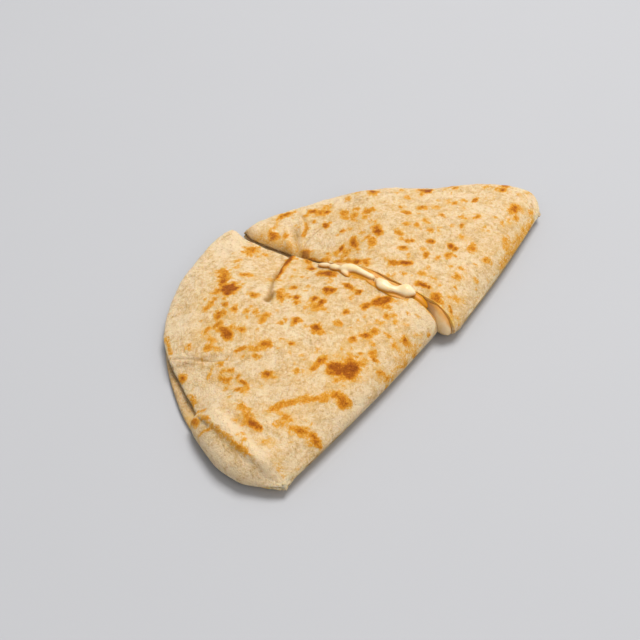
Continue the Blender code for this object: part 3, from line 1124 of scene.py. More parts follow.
@dataclass
class Filling:
    """The melted cheese between a wedge's leaves, swelling a little out of the cut."""

    wedge: Wedge
    columns: int = 70
    half_rows: int = 70
    swell_steps: int = 8
    clearance: float = 0.12
    swell: Place = (1.0, 0.9)
    oily_by_fold: float = 0.06
    smear: float = 0.0

    def build(self) -> bpy.types.Object:
        """Build the filling.

        Returns:
            The finished mesh, painted but not dressed.
        """
        a = np.linspace(0.0, 1.0, self.columns) ** 1.25
        b = np.linspace(-1.0, 1.0, 2 * self.half_rows - 1)
        u, w = half_disc(*np.meshgrid(a, b, indexing="ij"))
        places = SheetPlaces(self.wedge, u, w, filling=True)
        depth = self.wedge.fold.sheet * (0.5 + 0.5 * places.squeezed()) + self.clearance
        inside = places.points - places.facing() * depth[..., None]
        top = inside[:, self.half_rows - 1:]
        base = inside[:, self.half_rows - 1::-1]
        top, base, share = self.swollen(top, base, places)
        columns, rows = share.shape
        piece, order = add_grid(f"{self.wedge.name}_cheese_filling", columns, rows)
        oil = np.empty(columns * rows)
        by_fold = 1.0 - eased((places.arc[0, self.half_rows - 1:] - 10.0) / 8.0)
        inner = 0.06 + (self.oily_by_fold - 0.06) * by_fold
        oil[order] = (0.82 * eased((share - 0.58) / 0.40) * (1.0 - inner) + inner).reshape(-1)
        paint(piece, {Painted.OIL: oil, Painted.TOAST: 0.0 * oil})
        apply_modifier(piece, "SOLIDIFY", thickness=MM, offset=-1.0)
        both = np.empty((2, columns * rows, 3))
        both[0, order] = top.reshape(-1, 3) * MM
        both[1, order] = base.reshape(-1, 3) * MM
        move_vertices(piece, both.reshape(-1, 3))
        close_up(piece)
        select_only(piece)
        bpy.ops.object.shade_smooth_by_angle(angle=math.radians(60))
        return piece

    def swollen(
        self, top: np.ndarray, base: np.ndarray, places: SheetPlaces
    ) -> tuple[np.ndarray, np.ndarray, np.ndarray]:
        """Round the cheese out of the cut.

        Args:
            top: The filling's top face, from the cut inwards.
            base: Its base face.
            places: Its nodes.

        Returns:
            Both faces with the swollen end added, and how near each node is to the tortilla, 0 to 1.
        """
        middle = (top[0] + base[0]) / 2
        fold = math.radians(self.wedge.fold_degrees)
        outward = np.array([-math.cos(fold), -math.sin(fold), 0.0])
        thick = np.linalg.norm(top[0] - base[0], axis=-1)
        uneven = Drift(5.0, self.wedge.seed + 20).at(places.arc[0, self.half_rows - 1:], 0.0 * thick)
        by_fold = 1.0 - eased((places.arc[0, self.half_rows - 1:] - 10.0) / 8.0)
        swell = self.swell[1] + (self.swell[0] - self.swell[1]) * by_fold
        swell = swell * (0.75 + 0.35 * uneven) * eased(thick / 4.0)
        wider = (1.0 + 2.0 * self.smear * by_fold * eased(thick / 4.0) / np.maximum(thick, 1.0))[:, None]
        up, down = (top[0] - middle) * wider, (base[0] - middle) * wider
        turns = np.linspace(math.pi / 2, 0.0, self.swell_steps + 1)[:-1]
        tops = [middle + up * math.cos(t) + outward * (swell * math.sin(t))[:, None] for t in turns]
        bases = [middle + down * math.cos(t) + outward * (swell * math.sin(t))[:, None] for t in turns]
        near_skin = np.concatenate([np.cos(turns), np.ones(len(top))])
        share = np.repeat(near_skin[:, None], top.shape[1], axis=1)
        share = np.maximum(share, 1.0 - eased(thick / 3.0)[None, :])
        return np.concatenate([tops, top]), np.concatenate([bases, base]), share


@dataclass(frozen=True)
class Station:
    """A place on a strand of cheese.

    Attributes:
        arc_in: How far in from the near wedge's fold.
        aside: How far from its cut, negative over the slot between the wedges.
        half_width: Half the strand's width there.
        half_height: Half its height.
        lift: How far its middle is over the wedge's top.
    """

    arc_in: float
    aside: float
    half_width: float
    half_height: float
    lift: float


@dataclass(frozen=True)
class Strand:
    """One strand, drop or film of melted cheese, through its stations in rising arc_in."""

    stations: tuple[Station, ...]
    lumps: float = 0.07

    def read(self, name: str, at: np.ndarray) -> np.ndarray:
        """Read one of the stations' sizes along the strand."""
        return smooth_curve([(stop.arc_in, getattr(stop, name)) for stop in self.stations], at)


@dataclass
class CheeseRun:
    """The cheese that has welled up between the wedges and lies along the near cut edge."""

    wedge: Wedge
    strands: tuple[Strand, ...]
    speck: Place = (43.4, 3.0)
    rings: int = 90
    ring_points: int = 24
    voxel: float = 0.26

    def strand_mesh(self, index: int, strand: Strand) -> bpy.types.Object:
        """Build one strand as a closed tube.

        Args:
            index: Which strand it is.
            strand: Its sizes.

        Returns:
            The tube.
        """
        first, last = strand.stations[0].arc_in, strand.stations[-1].arc_in
        y = np.linspace(first, last, self.rings)
        aside = strand.read("aside", y)
        x = aside + y / math.tan(math.radians(self.wedge.sector))
        top = self.wedge.skin_height(np.maximum(x, 0.4), y)
        centre = self.wedge.placed(x, y, top + strand.read("lift", y))
        forward = np.gradient(centre, axis=0)
        forward /= np.linalg.norm(forward, axis=1, keepdims=True)
        sideways = np.cross(forward, (0.0, 0.0, 1.0))
        sideways /= np.linalg.norm(sideways, axis=1, keepdims=True)
        upward = np.cross(sideways, forward)
        half_width, half_height = strand.read("half_width", y), strand.read("half_height", y)
        cap = 1.6 * half_width
        ends = rounded((y - first) / cap) * rounded((last - y) / cap)
        turn = np.linspace(0.0, 2.0 * math.pi, self.ring_points)
        lumps = Drift(2.6, 70 + index).at(*np.meshgrid(y, 2.0 * np.cos(turn) + np.sin(turn), indexing="ij"))
        swell = ends[:, None] * (1.0 + strand.lumps * lumps)
        across = (half_width[:, None] * np.cos(turn) * swell)[..., None]
        up = (half_height[:, None] * np.sin(turn) * swell)[..., None]
        points = centre[:, None] + sideways[:, None] * across + upward[:, None] * up
        piece, order = add_grid(f"strand_{index}", self.rings, self.ring_points)
        flat = np.empty((self.rings * self.ring_points, 3))
        flat[order] = points.reshape(-1, 3) * MM
        move_vertices(piece, flat)
        close_up(piece)
        return piece

    def build(self) -> bpy.types.Object:
        """Build the run as one melted piece.

        Returns:
            The finished mesh, painted but not dressed.
        """
        parts = [self.strand_mesh(index, strand) for index, strand in enumerate(self.strands)]
        bpy.ops.object.select_all(action="DESELECT")
        for part in parts:
            part.select_set(True)
        piece = parts[0]
        bpy.context.view_layer.objects.active = piece
        bpy.ops.object.join()
        piece.name = piece.data.name = "cheese_run_strands"
        apply_modifier(piece, "REMESH", mode="VOXEL", voxel_size=self.voxel * MM)
        apply_modifier(piece, "SMOOTH", factor=0.5, iterations=5)
        places = vertex_places(piece) / MM
        x, y = self.wedge.own_plan(places)
        aside = x - y / math.tan(math.radians(self.wedge.sector))
        over = places[:, 2] - self.wedge.skin_height(np.maximum(x, 0.4), y)
        thin = 1.0 - eased((over - 0.30) / 1.70)
        slot = eased((-aside - 0.2) / 1.2) * (1.0 - eased((over - 0.3) / 1.4))
        by_fold = (1.0 - eased((y - 13.2) / 2.4)) * (1.0 - eased((over + 0.4) / 0.8))
        drift = Drift(3.0, 91).at(x, y)
        amber_edge = eased((aside + 1.2) / 0.8)
        film = eased((aside - 2.0) / 1.2) * (1.0 - eased((over - 0.6) / 1.1))
        oil = 0.72 * thin + 0.42 * film + 0.12 * slot + (0.90 + 0.10 * amber_edge) * by_fold
        oil += 0.16 * drift * thin
        speck = 1.0 - eased((np.hypot(y - self.speck[0], aside - self.speck[1]) - 0.25) / 0.5)
        paint(piece, {Painted.OIL: oil, Painted.TOAST: 0.6 * speck})
        select_only(piece)
        bpy.ops.object.shade_smooth()
        return piece


# --------------------------------------------------------------------------- the studio


@dataclass(frozen=True)
class Lamp:
    """A soft square lamp: where it stands, where it aims, its size and its power."""

    name: str
    place: tuple[float, float, float]
    aim: tuple[float, float, float]
    size: float
    power: float
    colour: Colour


@dataclass
class Studio:
    """The floor, the lamps and the camera."""

    target: tuple[float, float, float] = (-0.0156, -0.0055, 0.0)
    azimuth: float = -54.0
    elevation: float = 46.0
    distance: float = 0.38518
    lens: float = 56.25
    sensor: float = 36.0
    world: Colour = (1.0, 0.985, 0.96)
    world_strength: float = 0.42
    lamps: tuple[Lamp, ...] = (
        Lamp("key", (0.57, 0.02, 1.58), (0.0, 0.0, 0.0), 0.8, 26.0, (1.0, 0.98, 0.95)),
        Lamp("fill", (-0.3, -0.95, 0.9), (0.0, 0.0, 0.0), 1.0, 3.4, (1.0, 0.985, 0.96)),
    )

    def build(self, floor: bpy.types.Material) -> None:
        """Set up the studio.

        Args:
            floor: The floor's material.
        """
        bpy.ops.object.select_all(action="DESELECT")
        bpy.ops.mesh.primitive_plane_add(size=8.0, location=(0.0, 0.0, -0.0003))
        plane = bpy.context.active_object
        plane.name = "floor"
        plane.data.materials.append(floor)
        world = bpy.data.worlds.new("studio")
        bpy.context.scene.world = world
        world.use_nodes = True
        sky = world.node_tree.nodes["Background"]
        sky.inputs["Color"].default_value = (*self.world, 1.0)
        sky.inputs["Strength"].default_value = self.world_strength
        for lamp in self.lamps:
            self.add_lamp(lamp)
        self.add_camera()
        bpy.context.scene.view_settings.view_transform = "Standard"

    def add_lamp(self, lamp: Lamp) -> None:
        """Add one soft lamp, aimed at its mark."""
        light = bpy.data.lights.new(lamp.name, "AREA")
        light.shape = "SQUARE"
        light.size = lamp.size
        light.energy = lamp.power
        light.color = lamp.colour
        holder = bpy.data.objects.new(lamp.name, light)
        bpy.context.scene.collection.objects.link(holder)
        holder.location = lamp.place
        aim = Vector(lamp.aim) - Vector(lamp.place)
        holder.rotation_euler = aim.to_track_quat("-Z", "Y").to_euler()

    def add_camera(self) -> None:
        """Add the camera, looking at its target from its angle and distance."""
        azimuth, elevation = math.radians(self.azimuth), math.radians(self.elevation)
        away = Vector((
            math.sin(azimuth) * math.cos(elevation),
            -math.cos(azimuth) * math.cos(elevation),
            math.sin(elevation),
        ))
        lens = bpy.data.cameras.new("camera")
        lens.lens = self.lens
        lens.sensor_width = self.sensor
        lens.clip_start = 0.01
        holder = bpy.data.objects.new("camera", lens)
        bpy.context.scene.collection.objects.link(holder)
        holder.location = Vector(self.target) + away * self.distance
        holder.rotation_euler = (-away).to_track_quat("-Z", "Y").to_euler()
        bpy.context.scene.camera = holder


# --------------------------------------------------------------------------- this quesadilla


def spots(*rows: tuple[float, float, float, float, float, float]) -> tuple[Scorch, ...]:
    """Return scorches from rows of along, arc, long, wide, lean and depth."""
    return tuple(Scorch(*row) for row in rows)


NEAR_SCORCHES = spots(
    (34, 82, 4, 2.2, -45, 0.75), (31, 86.5, 3, 2, 0, 0.35), (37.8, 76, 4.5, 3.5, 0, 1.0),
    (41.4, 78.2, 3, 2, 0, 0.55), (36.7, 75.4, 1.5, 1.5, 0, 0.9), (40, 74, 2, 1, 0, 0.7),
    (26.7, 76.5, 2, 1.8, 0, 0.75), (9.5, 86.8, 4, 3.5, 0, 0.6), (10.9, 91.4, 1.2, 1.2, 0, 0.35),
    (13.7, 86.5, 2.5, 2.5, 0, 0.4), (25.3, 83.8, 2, 1, 0, 0.35), (21.4, 86.5, 2.5, 1, 0, 0.3),
    (36.3, 64.6, 2.5, 1.5, 90, 0.75), (30.1, 57.1, 4, 1.2, -45, 0.65), (27, 58.8, 1, 1, 0, 0.5),
    (29.2, 54.3, 3, 1.5, 90, 0.45), (23.4, 56, 1.5, 1, 0, 0.7), (14.7, 58.8, 1.5, 1.2, 0, 0.55),
    (7.6, 59.3, 1.5, 1, 90, 0.6), (4.8, 63.2, 4, 1.3, -45, 0.6), (9.2, 52.7, 2.5, 2, 90, 0.8),
    (9.5, 48.7, 2.2, 2, 0, 0.8), (27.6, 50.6, 1.6, 1.3, 0, 0.85), (29.8, 48.7, 1.5, 1, 0, 0.5),
    (42.8, 57.7, 1.5, 1.2, 90, 0.5), (45, 52.7, 2, 1.2, 0, 0.55), (41.7, 53.2, 1.2, 1.2, 0, 0.4),
    (44.8, 61, 1.5, 1.5, 0, 0.45), (46.7, 64.9, 1.8, 1.5, 90, 0.65), (44.2, 66.3, 1.2, 1.2, 0, 0.45),
    (46.4, 70.4, 1.8, 1.2, 90, 0.5), (43.7, 72.4, 1.5, 1, 0, 0.45), (50.6, 68.8, 2.5, 2, 90, 0.6),
    (50.6, 75.4, 3, 1.5, 0, 0.55), (47.8, 75.2, 1.5, 1.5, 0, 0.45), (45.6, 76, 1.5, 1, 90, 0.45),
    (17, 62, 2, 1, 0, 0.25), (19.2, 52, 1, 1, 0, 0.3), (37.5, 52, 1, 1, 0, 0.25),
    (78.9, 61.6, 2, 1.8, 90, 0.85), (68.7, 67.7, 2, 1.3, 0, 0.45), (66.2, 61, 2, 1.5, 0, 0.6),
    (62.4, 62.9, 3, 1.2, 90, 0.5), (64.2, 56.5, 1.5, 1.5, 0, 0.3), (56.4, 61.5, 4, 2, 90, 0.8),
    (57.5, 58.2, 2, 2, 0, 0.75), (52.8, 55.7, 2.5, 1.3, 90, 0.75), (53.4, 59.9, 1.3, 1.3, 0, 0.6),
    (55.3, 65.2, 3, 2, 0, 0.65), (52.5, 67.7, 2.5, 2, 0, 0.7), (59.2, 67.1, 2.5, 1.2, 0, 0.5),
    (62, 66.5, 2, 2, 0, 0.35), (74.2, 52.2, 1, 0.7, 0, 0.4), (83, 53.2, 3, 1, 90, 0.35),
    (68.4, 51.8, 1.5, 1, 90, 0.4), (42, 46.7, 1.3, 1, 0, 0.45), (37.4, 42.6, 2, 1.8, 0, 0.75),
    (24.5, 44.5, 1.8, 1.2, 0, 0.75), (24.8, 41.2, 2, 1.2, 0, 0.75), (27.5, 42, 3, 3, 0, 0.4),
    (18, 43.4, 2, 1.8, 0, 0.85), (16.4, 41.7, 1, 0.8, 0, 0.7), (11.6, 37.8, 2.5, 1, 90, 0.75),
    (11.7, 33.4, 1.5, 1.3, 0, 0.8), (47.6, 36.9, 1.6, 1.2, 90, 0.65), (36.2, 34, 3, 2, -45, 0.9),
    (22.8, 31, 2, 1, 0, 0.75), (29.3, 29.8, 1.5, 1.5, 0, 0.5), (16.7, 27.3, 1.5, 1.2, 0, 0.75),
    (14.7, 27.4, 0.6, 0.6, 0, 0.4), (10.9, 23.1, 3, 3, 0, 0.9), (7.6, 23.1, 2, 1.5, 0, 0.75),
    (12.6, 25.9, 1, 1, 0, 0.5), (9.2, 26.2, 0.8, 0.8, 0, 0.4), (32.1, 21.4, 1.8, 1.5, 0, 0.85),
    (28.1, 18.9, 2.5, 1, 45, 0.75), (24.3, 17.3, 1.4, 1.4, 0, 0.6), (15.6, 18, 1.2, 0.8, 0, 0.6),
    (13.1, 15.9, 1.5, 1.5, 0, 0.3), (46.4, 17.3, 3.5, 2.5, 90, 1.0), (42.8, 13.7, 3, 2.5, 0, 1.0),
    (45.9, 12, 3.5, 1.5, 0, 0.85), (45, 16, 6, 5, 0, 0.7), (50.9, 23.7, 2.5, 1.3, 0, 0.9),
    (47, 23.1, 2.5, 1.5, 0, 0.75), (51.5, 14.3, 2, 1.2, 0, 0.5), (32.8, 12.3, 1.5, 1.2, -45, 0.65),
    (34.5, 10.6, 1, 1, 0, 0.55), (37, 12.8, 0.8, 0.8, 0, 0.4), (36, 15.4, 0.6, 0.6, 0, 0.5),
    (29.8, 14.5, 0.8, 0.8, 0, 0.5), (39.2, 11.7, 1, 1, 0, 0.5), (22.4, 12.8, 1.8, 0.6, 90, 0.7),
    (19.2, 8.1, 2.5, 1.2, -45, 0.6), (21.2, 5.3, 1, 1, 0, 0.5), (18.1, 8.9, 1.2, 1.2, 0, 0.6),
    (23.7, 9.5, 2, 0.8, 0, 0.5), (30.4, 8.7, 0.6, 0.6, 0, 0.5), (7.8, 3.2, 1.5, 1.2, 0, 0.6),
    (34.8, 3.9, 1.5, 1.2, 90, 0.65), (35.8, 6.7, 0.7, 0.7, 0, 0.5), (35.9, 0.3, 1, 1, 0, 0.6),
    (32.8, 2, 1, 1, 0, 0.45), (26.4, 3.1, 0.7, 0.7, 0, 0.6), (23.7, 1.7, 1.5, 1.2, 0, 0.5),
    (13.7, 3.1, 0.6, 0.6, 0, 0.45), (18, 0.9, 1.3, 1.3, 0, 0.5), (8.9, 13.1, 0.6, 0.6, 0, 0.45),
    (6.7, 10.1, 1, 0.7, 0, 0.55), (3.1, 17.8, 1, 1, 0, 0.5), (91.6, 43, 2.2, 1.2, 100, 0.9),
    (89.6, 39.6, 2.4, 0.9, 90, 0.6), (86.6, 45.6, 2.2, 1.1, 90, 0.45), (84.4, 51, 2.4, 1.2, 100, 0.4),
    (82.4, 23.1, 3, 1, 90, 0.8), (81.2, 28.1, 3, 2, 90, 0.45), (78.9, 32.6, 3, 1.5, 90, 0.4),
    (83, 27.5, 1.5, 1.5, 0, 0.4), (72.8, 45.9, 2.5, 1, 90, 0.65), (71.7, 45, 1, 1, 0, 0.5),
    (68.9, 47, 1.3, 1, 90, 0.6), (70.3, 39.2, 2.5, 0.8, 90, 0.8), (69.2, 42.8, 0.7, 0.7, 0, 0.6),
    (73.4, 38.7, 1.5, 1.5, 0, 0.6), (71.7, 36.4, 1.8, 1.2, 0, 0.5), (75.3, 43.9, 1.5, 1.5, 0, 0.4),
    (63.4, 33.9, 2.2, 2, 90, 0.85), (53.4, 44.5, 2.5, 2, 0, 0.85), (56.4, 45.9, 2, 2, 0, 0.4),
    (59.3, 43.9, 1, 0.7, 90, 0.6), (56.2, 27, 1.5, 1, 0, 0.4), (56.2, 8.1, 2.2, 2, 0, 0.75),
    (73.7, 17.6, 4, 1.2, 90, 0.5), (75, 11.5, 2, 1.5, 90, 0.7), (72.8, 5.9, 3, 1, 90, 0.8),
    (76.4, 13, 2, 2, 0, 0.4), (77.6, 18, 2, 2, 0, 0.3), (88.7, 7.6, 3, 1.2, 90, 0.3),
    (84.8, 16, 3, 3, 0, 0.2),
)

FAR_SCORCHES = spots(
    (12.2, 91.9, 3.2, 1.7, 50, 0.75), (14.8, 94.4, 2, 1, 0, 0.5), (11.2, 90.4, 1.6, 1.4, 0, 0.6),
    (13.8, 87.6, 1.6, 1, 45, 0.5), (24.7, 93.2, 4.5, 1.5, -40, 0.65), (20.8, 95.4, 2.5, 1, 0, 0.5),
    (29.9, 84.6, 2, 1.5, 0, 0.75), (26.3, 86, 2.5, 1, 0, 0.4), (30.2, 81.6, 3.5, 2.5, 90, 0.55),
    (31.3, 78.8, 1.2, 1.2, 0, 0.75), (34.1, 81, 3, 2, 0, 0.35), (23.6, 75.2, 1.5, 1.5, 0, 0.8),
    (25.8, 74.3, 0.7, 0.7, 0, 0.5), (7.7, 74.6, 3.5, 1.5, 45, 0.85), (5.8, 70.4, 4, 1, 90, 0.75),
    (6, 66, 1.5, 1, 0, 0.5), (7.4, 64.6, 3, 2, 0, 0.45), (9.9, 66, 1, 1, 0, 0.5),
    (14.1, 61.8, 1.8, 0.8, 0, 0.8), (11.3, 62.1, 3, 1.2, 0, 0.5), (16.3, 57.4, 4, 1.5, 45, 0.8),
    (19.1, 59.6, 2, 1.5, 0, 0.6), (11.9, 58.2, 4, 2.5, 0, 0.45), (23.3, 58.2, 1.5, 1.5, 0, 0.45),
    (19.7, 51.6, 3, 2, 0, 0.6), (17.7, 49.8, 3, 1.5, 0, 0.5), (21.6, 54.1, 1.5, 1.5, 0, 0.6),
    (25.8, 52.1, 2.2, 2, 0, 0.85), (28, 53.8, 2.5, 2, 0, 0.6), (30.8, 56, 1.5, 1, 0, 0.45),
    (6.1, 54.3, 5, 1.5, 90, 0.7), (4.9, 58.2, 1, 1, 0, 0.7), (6.3, 51.3, 1.5, 1.5, 0, 0.7),
    (22.4, 66.3, 1.2, 1.2, 0, 0.5), (24.4, 64.6, 1.5, 1.5, 0, 0.35), (33, 71.8, 2, 1.5, 90, 0.55),
    (29.9, 69.9, 1.8, 1, 90, 0.5), (32.4, 66.6, 2.2, 1.5, 0, 0.6), (29.7, 64.9, 1.2, 1.2, 0, 0.4),
    (36.3, 67.7, 2.5, 1.5, 90, 0.5), (36.2, 63.5, 2, 2, 0, 0.65), (32.7, 61.6, 1.5, 1.5, 0, 0.4),
    (38, 61, 2, 1, 90, 0.5), (49.9, 68.2, 2, 1.3, 45, 0.7), (48.6, 67.1, 3, 2, 0, 0.4),
    (42.4, 75.4, 2, 1.5, 0, 0.35), (48.3, 74.1, 3, 1, 0, 0.35), (51.9, 75.7, 1.5, 1.5, 0, 0.35),
    (56.3, 71.6, 1.5, 1, 0, 0.55), (57.4, 57.9, 1.5, 1, 0, 0.3), (42.2, 47.9, 1.8, 1.5, 90, 0.7),
    (61.9, 49.9, 3, 2.5, 90, 0.7), (63, 47.7, 2, 1.5, 0, 0.8), (68.6, 53.2, 3, 3, 0, 0.35),
    (48.6, 43.5, 2, 1.5, 90, 0.6), (6.3, 46.4, 2.5, 1.5, 45, 0.6), (8.8, 47.3, 1, 1, 0, 0.5),
    (28.6, 44.2, 2.5, 1.5, 60, 0.6), (26.3, 41.4, 1, 1, 0, 0.4), (25.8, 38.9, 2, 1.2, 90, 0.7),
    (26.9, 37.3, 1, 1, 0, 0.6), (20.8, 38.7, 2, 1.5, -45, 0.7), (10.9, 37.4, 1.8, 1.2, 90, 0.65),
    (34.9, 44.2, 1.2, 1.2, 0, 0.4), (36.3, 40, 1.2, 1.2, 0, 0.55), (41, 38.9, 2, 1, 45, 0.5),
    (40.3, 36.7, 0.6, 0.6, 0, 0.5), (36.6, 33.9, 1.3, 1.3, 0, 0.45), (13.8, 32.8, 2.2, 1.5, -45, 1.0),
    (18.1, 34.1, 0.8, 0.8, 0, 0.45), (7.6, 30.7, 0.9, 0.9, 0, 0.5), (30.2, 30.6, 1.8, 1.3, 90, 0.75),
    (21.9, 28.7, 1.8, 0.8, 0, 0.65), (24.4, 31.4, 1.3, 1.3, 0, 0.4), (5.8, 22.6, 3.5, 1.5, 90, 0.8),
    (6.1, 19.8, 1, 1, 0, 0.8), (11.9, 25.1, 1, 1, 0, 0.5), (11.5, 20, 1, 1, 0, 0.4),
    (23.3, 24.2, 1.5, 1, 0, 0.5), (26.4, 21.7, 2, 1.3, 0, 0.75), (32.3, 23.1, 1.5, 1.3, 90, 0.8),
    (31.6, 20.9, 1.2, 1.2, 0, 0.6), (38.8, 21.7, 1, 1, 0, 0.45), (27.4, 19.2, 0.8, 0.8, 0, 0.45),
    (44.7, 24.5, 1.4, 1, 0, 0.7), (43.3, 27.6, 1.2, 1.2, 0, 0.35), (2.7, 14.2, 2.5, 2, 45, 0.8),
    (9.7, 16.4, 1, 1, 0, 0.35), (12.2, 12, 1.2, 1.2, 0, 0.5), (17.4, 13.7, 2, 2, 0, 0.35),
    (22.2, 14.2, 1.5, 0.7, 90, 0.45), (35.2, 15.6, 2.2, 1.6, 0, 0.7), (8.6, 9.3, 1.2, 0.8, 0, 0.55),
    (22.2, 7.8, 1.3, 1.3, 0, 0.4), (33.6, 9.5, 1.5, 1, 0, 0.5), (34.4, 7.8, 1.2, 1.2, 0, 0.35),
    (48, 6.4, 3, 1.5, 0, 0.35), (39.1, 3.7, 1.2, 1.2, 0, 0.4), (32.4, 3.7, 1.2, 1.2, 0, 0.3),
    (47.6, 34.2, 1.5, 1.2, 0, 0.6), (51.7, 38.9, 2, 1.5, 0, 0.35), (58.2, 33.7, 1.5, 1, 0, 0.7),
    (62.4, 31.7, 2, 1, 0, 0.35), (57.4, 36.2, 0.8, 0.8, 0, 0.3), (50.3, 27.6, 0.8, 0.8, 0, 0.4),
    (50, 25.1, 0.6, 0.6, 0, 0.4), (53.1, 21.6, 2, 1, 0, 0.75), (65.1, 27.6, 2.5, 0.8, 0, 0.75),
    (70.3, 38.7, 2.5, 1.2, 0, 0.7), (71.4, 41.4, 3.5, 1, 0, 0.45), (74.8, 43.1, 3, 1, 0, 0.4),
    (78.7, 28.1, 3.5, 1, 0, 0.35), (78.4, 20.3, 1.5, 0.8, 0, 0.7), (84.2, 21.7, 5, 1.3, 0, 0.6),
    (80.3, 23.1, 4, 1, 0, 0.35), (71.2, 21.7, 3, 1, 0, 0.2), (57, 15.9, 1.2, 1.2, 0, 0.35),
    (55.6, 12.3, 1.5, 0.8, 0, 0.35), (68.1, 12, 3, 1.6, 0, 0.75), (70.9, 10, 2, 2, 0, 0.4),
    (64.2, 9.3, 2, 1, 0, 0.8), (75.6, 6.2, 2.5, 1.2, 0, 0.5), (49.2, 7.6, 3, 2, 0, 0.35),
    (59.8, 3.1, 2.5, 1, 0, 0.4), (55, 4.2, 1.5, 1.5, 0, 0.3), (85.3, 12, 2, 1, 0, 0.3),
)

NEAR_PALE_AND_HIGHLIGHT = spots(
    # The first three rows lighten the near ridge's crest: partly untoasted skin, partly painted highlight where it
    # faces the light.
    (88.0, 31, 9, 2.8, 95, 1.2), (89.4, 19, 9, 2.2, 97, 1.2), (88.8, 40, 5, 2.4, 100, 0.7),
    (56, 4, 4, 11, 90, 0.5),
    (6, 8, 10, 7, 90, 0.6), (3, 24, 9, 4, 90, 0.3), (80, 45, 8, 5, 100, 0.4), (60, 73, 9, 5, 150, 0.3),
    (12, 95, 11, 5, 0, 0.6),
)

FAR_PALE = spots(
    (60, 67, 12, 5, 140, 0.5), (72, 50, 9, 5, 120, 0.5), (6, 28, 7, 3, 90, 0.4), (18, 90, 8, 4, 160, 0.3),
)

NEAR_STREAKS = (
    Streak(((2.6, 72.0), (8.0, 71.0), (13.2, 69.3), (19.5, 66.8), (22.5, 65.0)), 1.35, 1.0),
    Streak(((62, 51.2), (58.1, 49.2)), 0.9, 0.65),
    Streak(((76, 24.6), (71.6, 22.6), (68, 20.3), (64, 17), (60.2, 13.4), (56, 11.6)), 1.5, 0.5),
    Streak(((57.5, 12), (55.8, 11), (54.9, 8.8), (56.1, 7)), 1.9, 0.7),
    Streak(((88.2, 45), (89.7, 40), (90.8, 34.9), (91.5, 28), (92.0, 22), (92.2, 15)), 1.1, 0.36),
    Streak(((91.5, 28), (92.0, 23.5), (92.1, 19.5)), 0.8, 0.46),
    Streak(((94.2, 38.8), (92.6, 36.8), (91, 34.2)), 0.6, 0.55),
    Streak(((0.1, 1.0), (0.3, 6), (0.4, 12), (0.3, 17)), 0.75, 0.95),
    Streak(((13, 3.4), (22, 4.2), (31, 3.6), (40, 4.5)), 2.2, 0.24),
    # A dark amber line along the lower side of the cheese run: partly oil soak, partly painted shadow under the
    # strands.
    Streak(((7.6, 40.9), (6.2, 38), (4.8, 33), (5.3, 27.5), (4.2, 22)), 0.8, 0.55),
    Streak(((68, 80.4), (74.2, 71.5)), 1.0, 0.4),
)

NEAR_CREASES = (
    Crease(((12.2, 71.4), (17.7, 69.2), (23.3, 66.3), (29.2, 62.1), (34.2, 58.5), (37, 58)), -0.9, 1.2,
           shade_and_stain=0.75),
    Crease(((29.0, 61.5), (33.0, 59), (37.2, 58.6)), -1.1, 3.0, shade_and_stain=1.0),
    Crease(((1, 74.2), (4.4, 73.2), (12.2, 71.4), (17.7, 69.2), (23.3, 66.3)), -0.5, 1.1, shade_and_stain=0.25),
    Crease(((77, 73.5), (75.2, 69.9), (71.8, 61.9), (69.1, 56.1), (65.6, 50.5), (64.7, 47)), -0.45, 0.7,
           step=0.35, reach=3.0, shade_and_stain=0.6),
    Crease(((69.5, 70.2), (71.4, 67.1), (71.6, 64.9), (70.3, 61.6)), -0.3, 0.7, shade_and_stain=0.25),
    Crease(((66.5, 52.5), (64, 51.5), (61.5, 52.5)), -0.25, 0.6, shade_and_stain=0.25),
    Crease(((64.7, 47), (62.2, 45.2), (59.5, 45.4)), -0.25, 0.6, shade_and_stain=0.2),
    Crease(((66.2, 55), (63.5, 57), (61.5, 60)), -0.25, 0.6, shade_and_stain=0.2),
    Crease(((90.5, 4), (92.4, 10), (92.8, 18.3), (92.4, 25), (91.6, 30.7), (90.6, 35.7), (89.4, 44)),
           0.12, 1.6, step=1.5, reach=6.0, soft=2.6),
    Crease(((83.6, 42), (84.2, 34.8), (84.2, 30.7), (86.2, 24.6), (88.0, 18.3), (88.6, 10)), -0.9, 2.6,
           shade_and_stain=0.1),
    Crease(((98, 10), (98.5, 22), (97, 32)), 0.5, 3.5),
    Crease(((76, 31), (80, 28.5), (83.5, 24.5)), -0.3, 1.6, shade_and_stain=0.1),
    Crease(((89, 45), (90.6, 41.5), (91, 38), (92.6, 35.5)), -0.3, 0.6, step=-0.5, reach=4.0, shade_and_stain=0.35),
)

FAR_STREAKS = (
    Streak(((14.7, 80.2), (19.4, 81.8), (22.4, 84.6)), 0.8, 0.5),
    Streak(((4.0, 10.2), (3.4, 9.2), (2.7, 8.2), (1.8, 7.7), (0.7, 7.6)), 0.5, 0.8),
    # A broad golden streak along the far tip's cut edge: partly toasting, partly painted shade where the edge curves
    # down.
    Streak(((9.5, 100), (9.6, 92), (9.4, 84), (8.6, 76), (8.0, 70)), 2.6, 0.26),
    # A broad golden band along the far fold: partly toasting, partly painted shade on the fold side.
    Streak(((36, 3.4), (48, 2.6), (58, 3.0), (66, 2.4), (76, 3.6)), 2.8, 0.34),
)

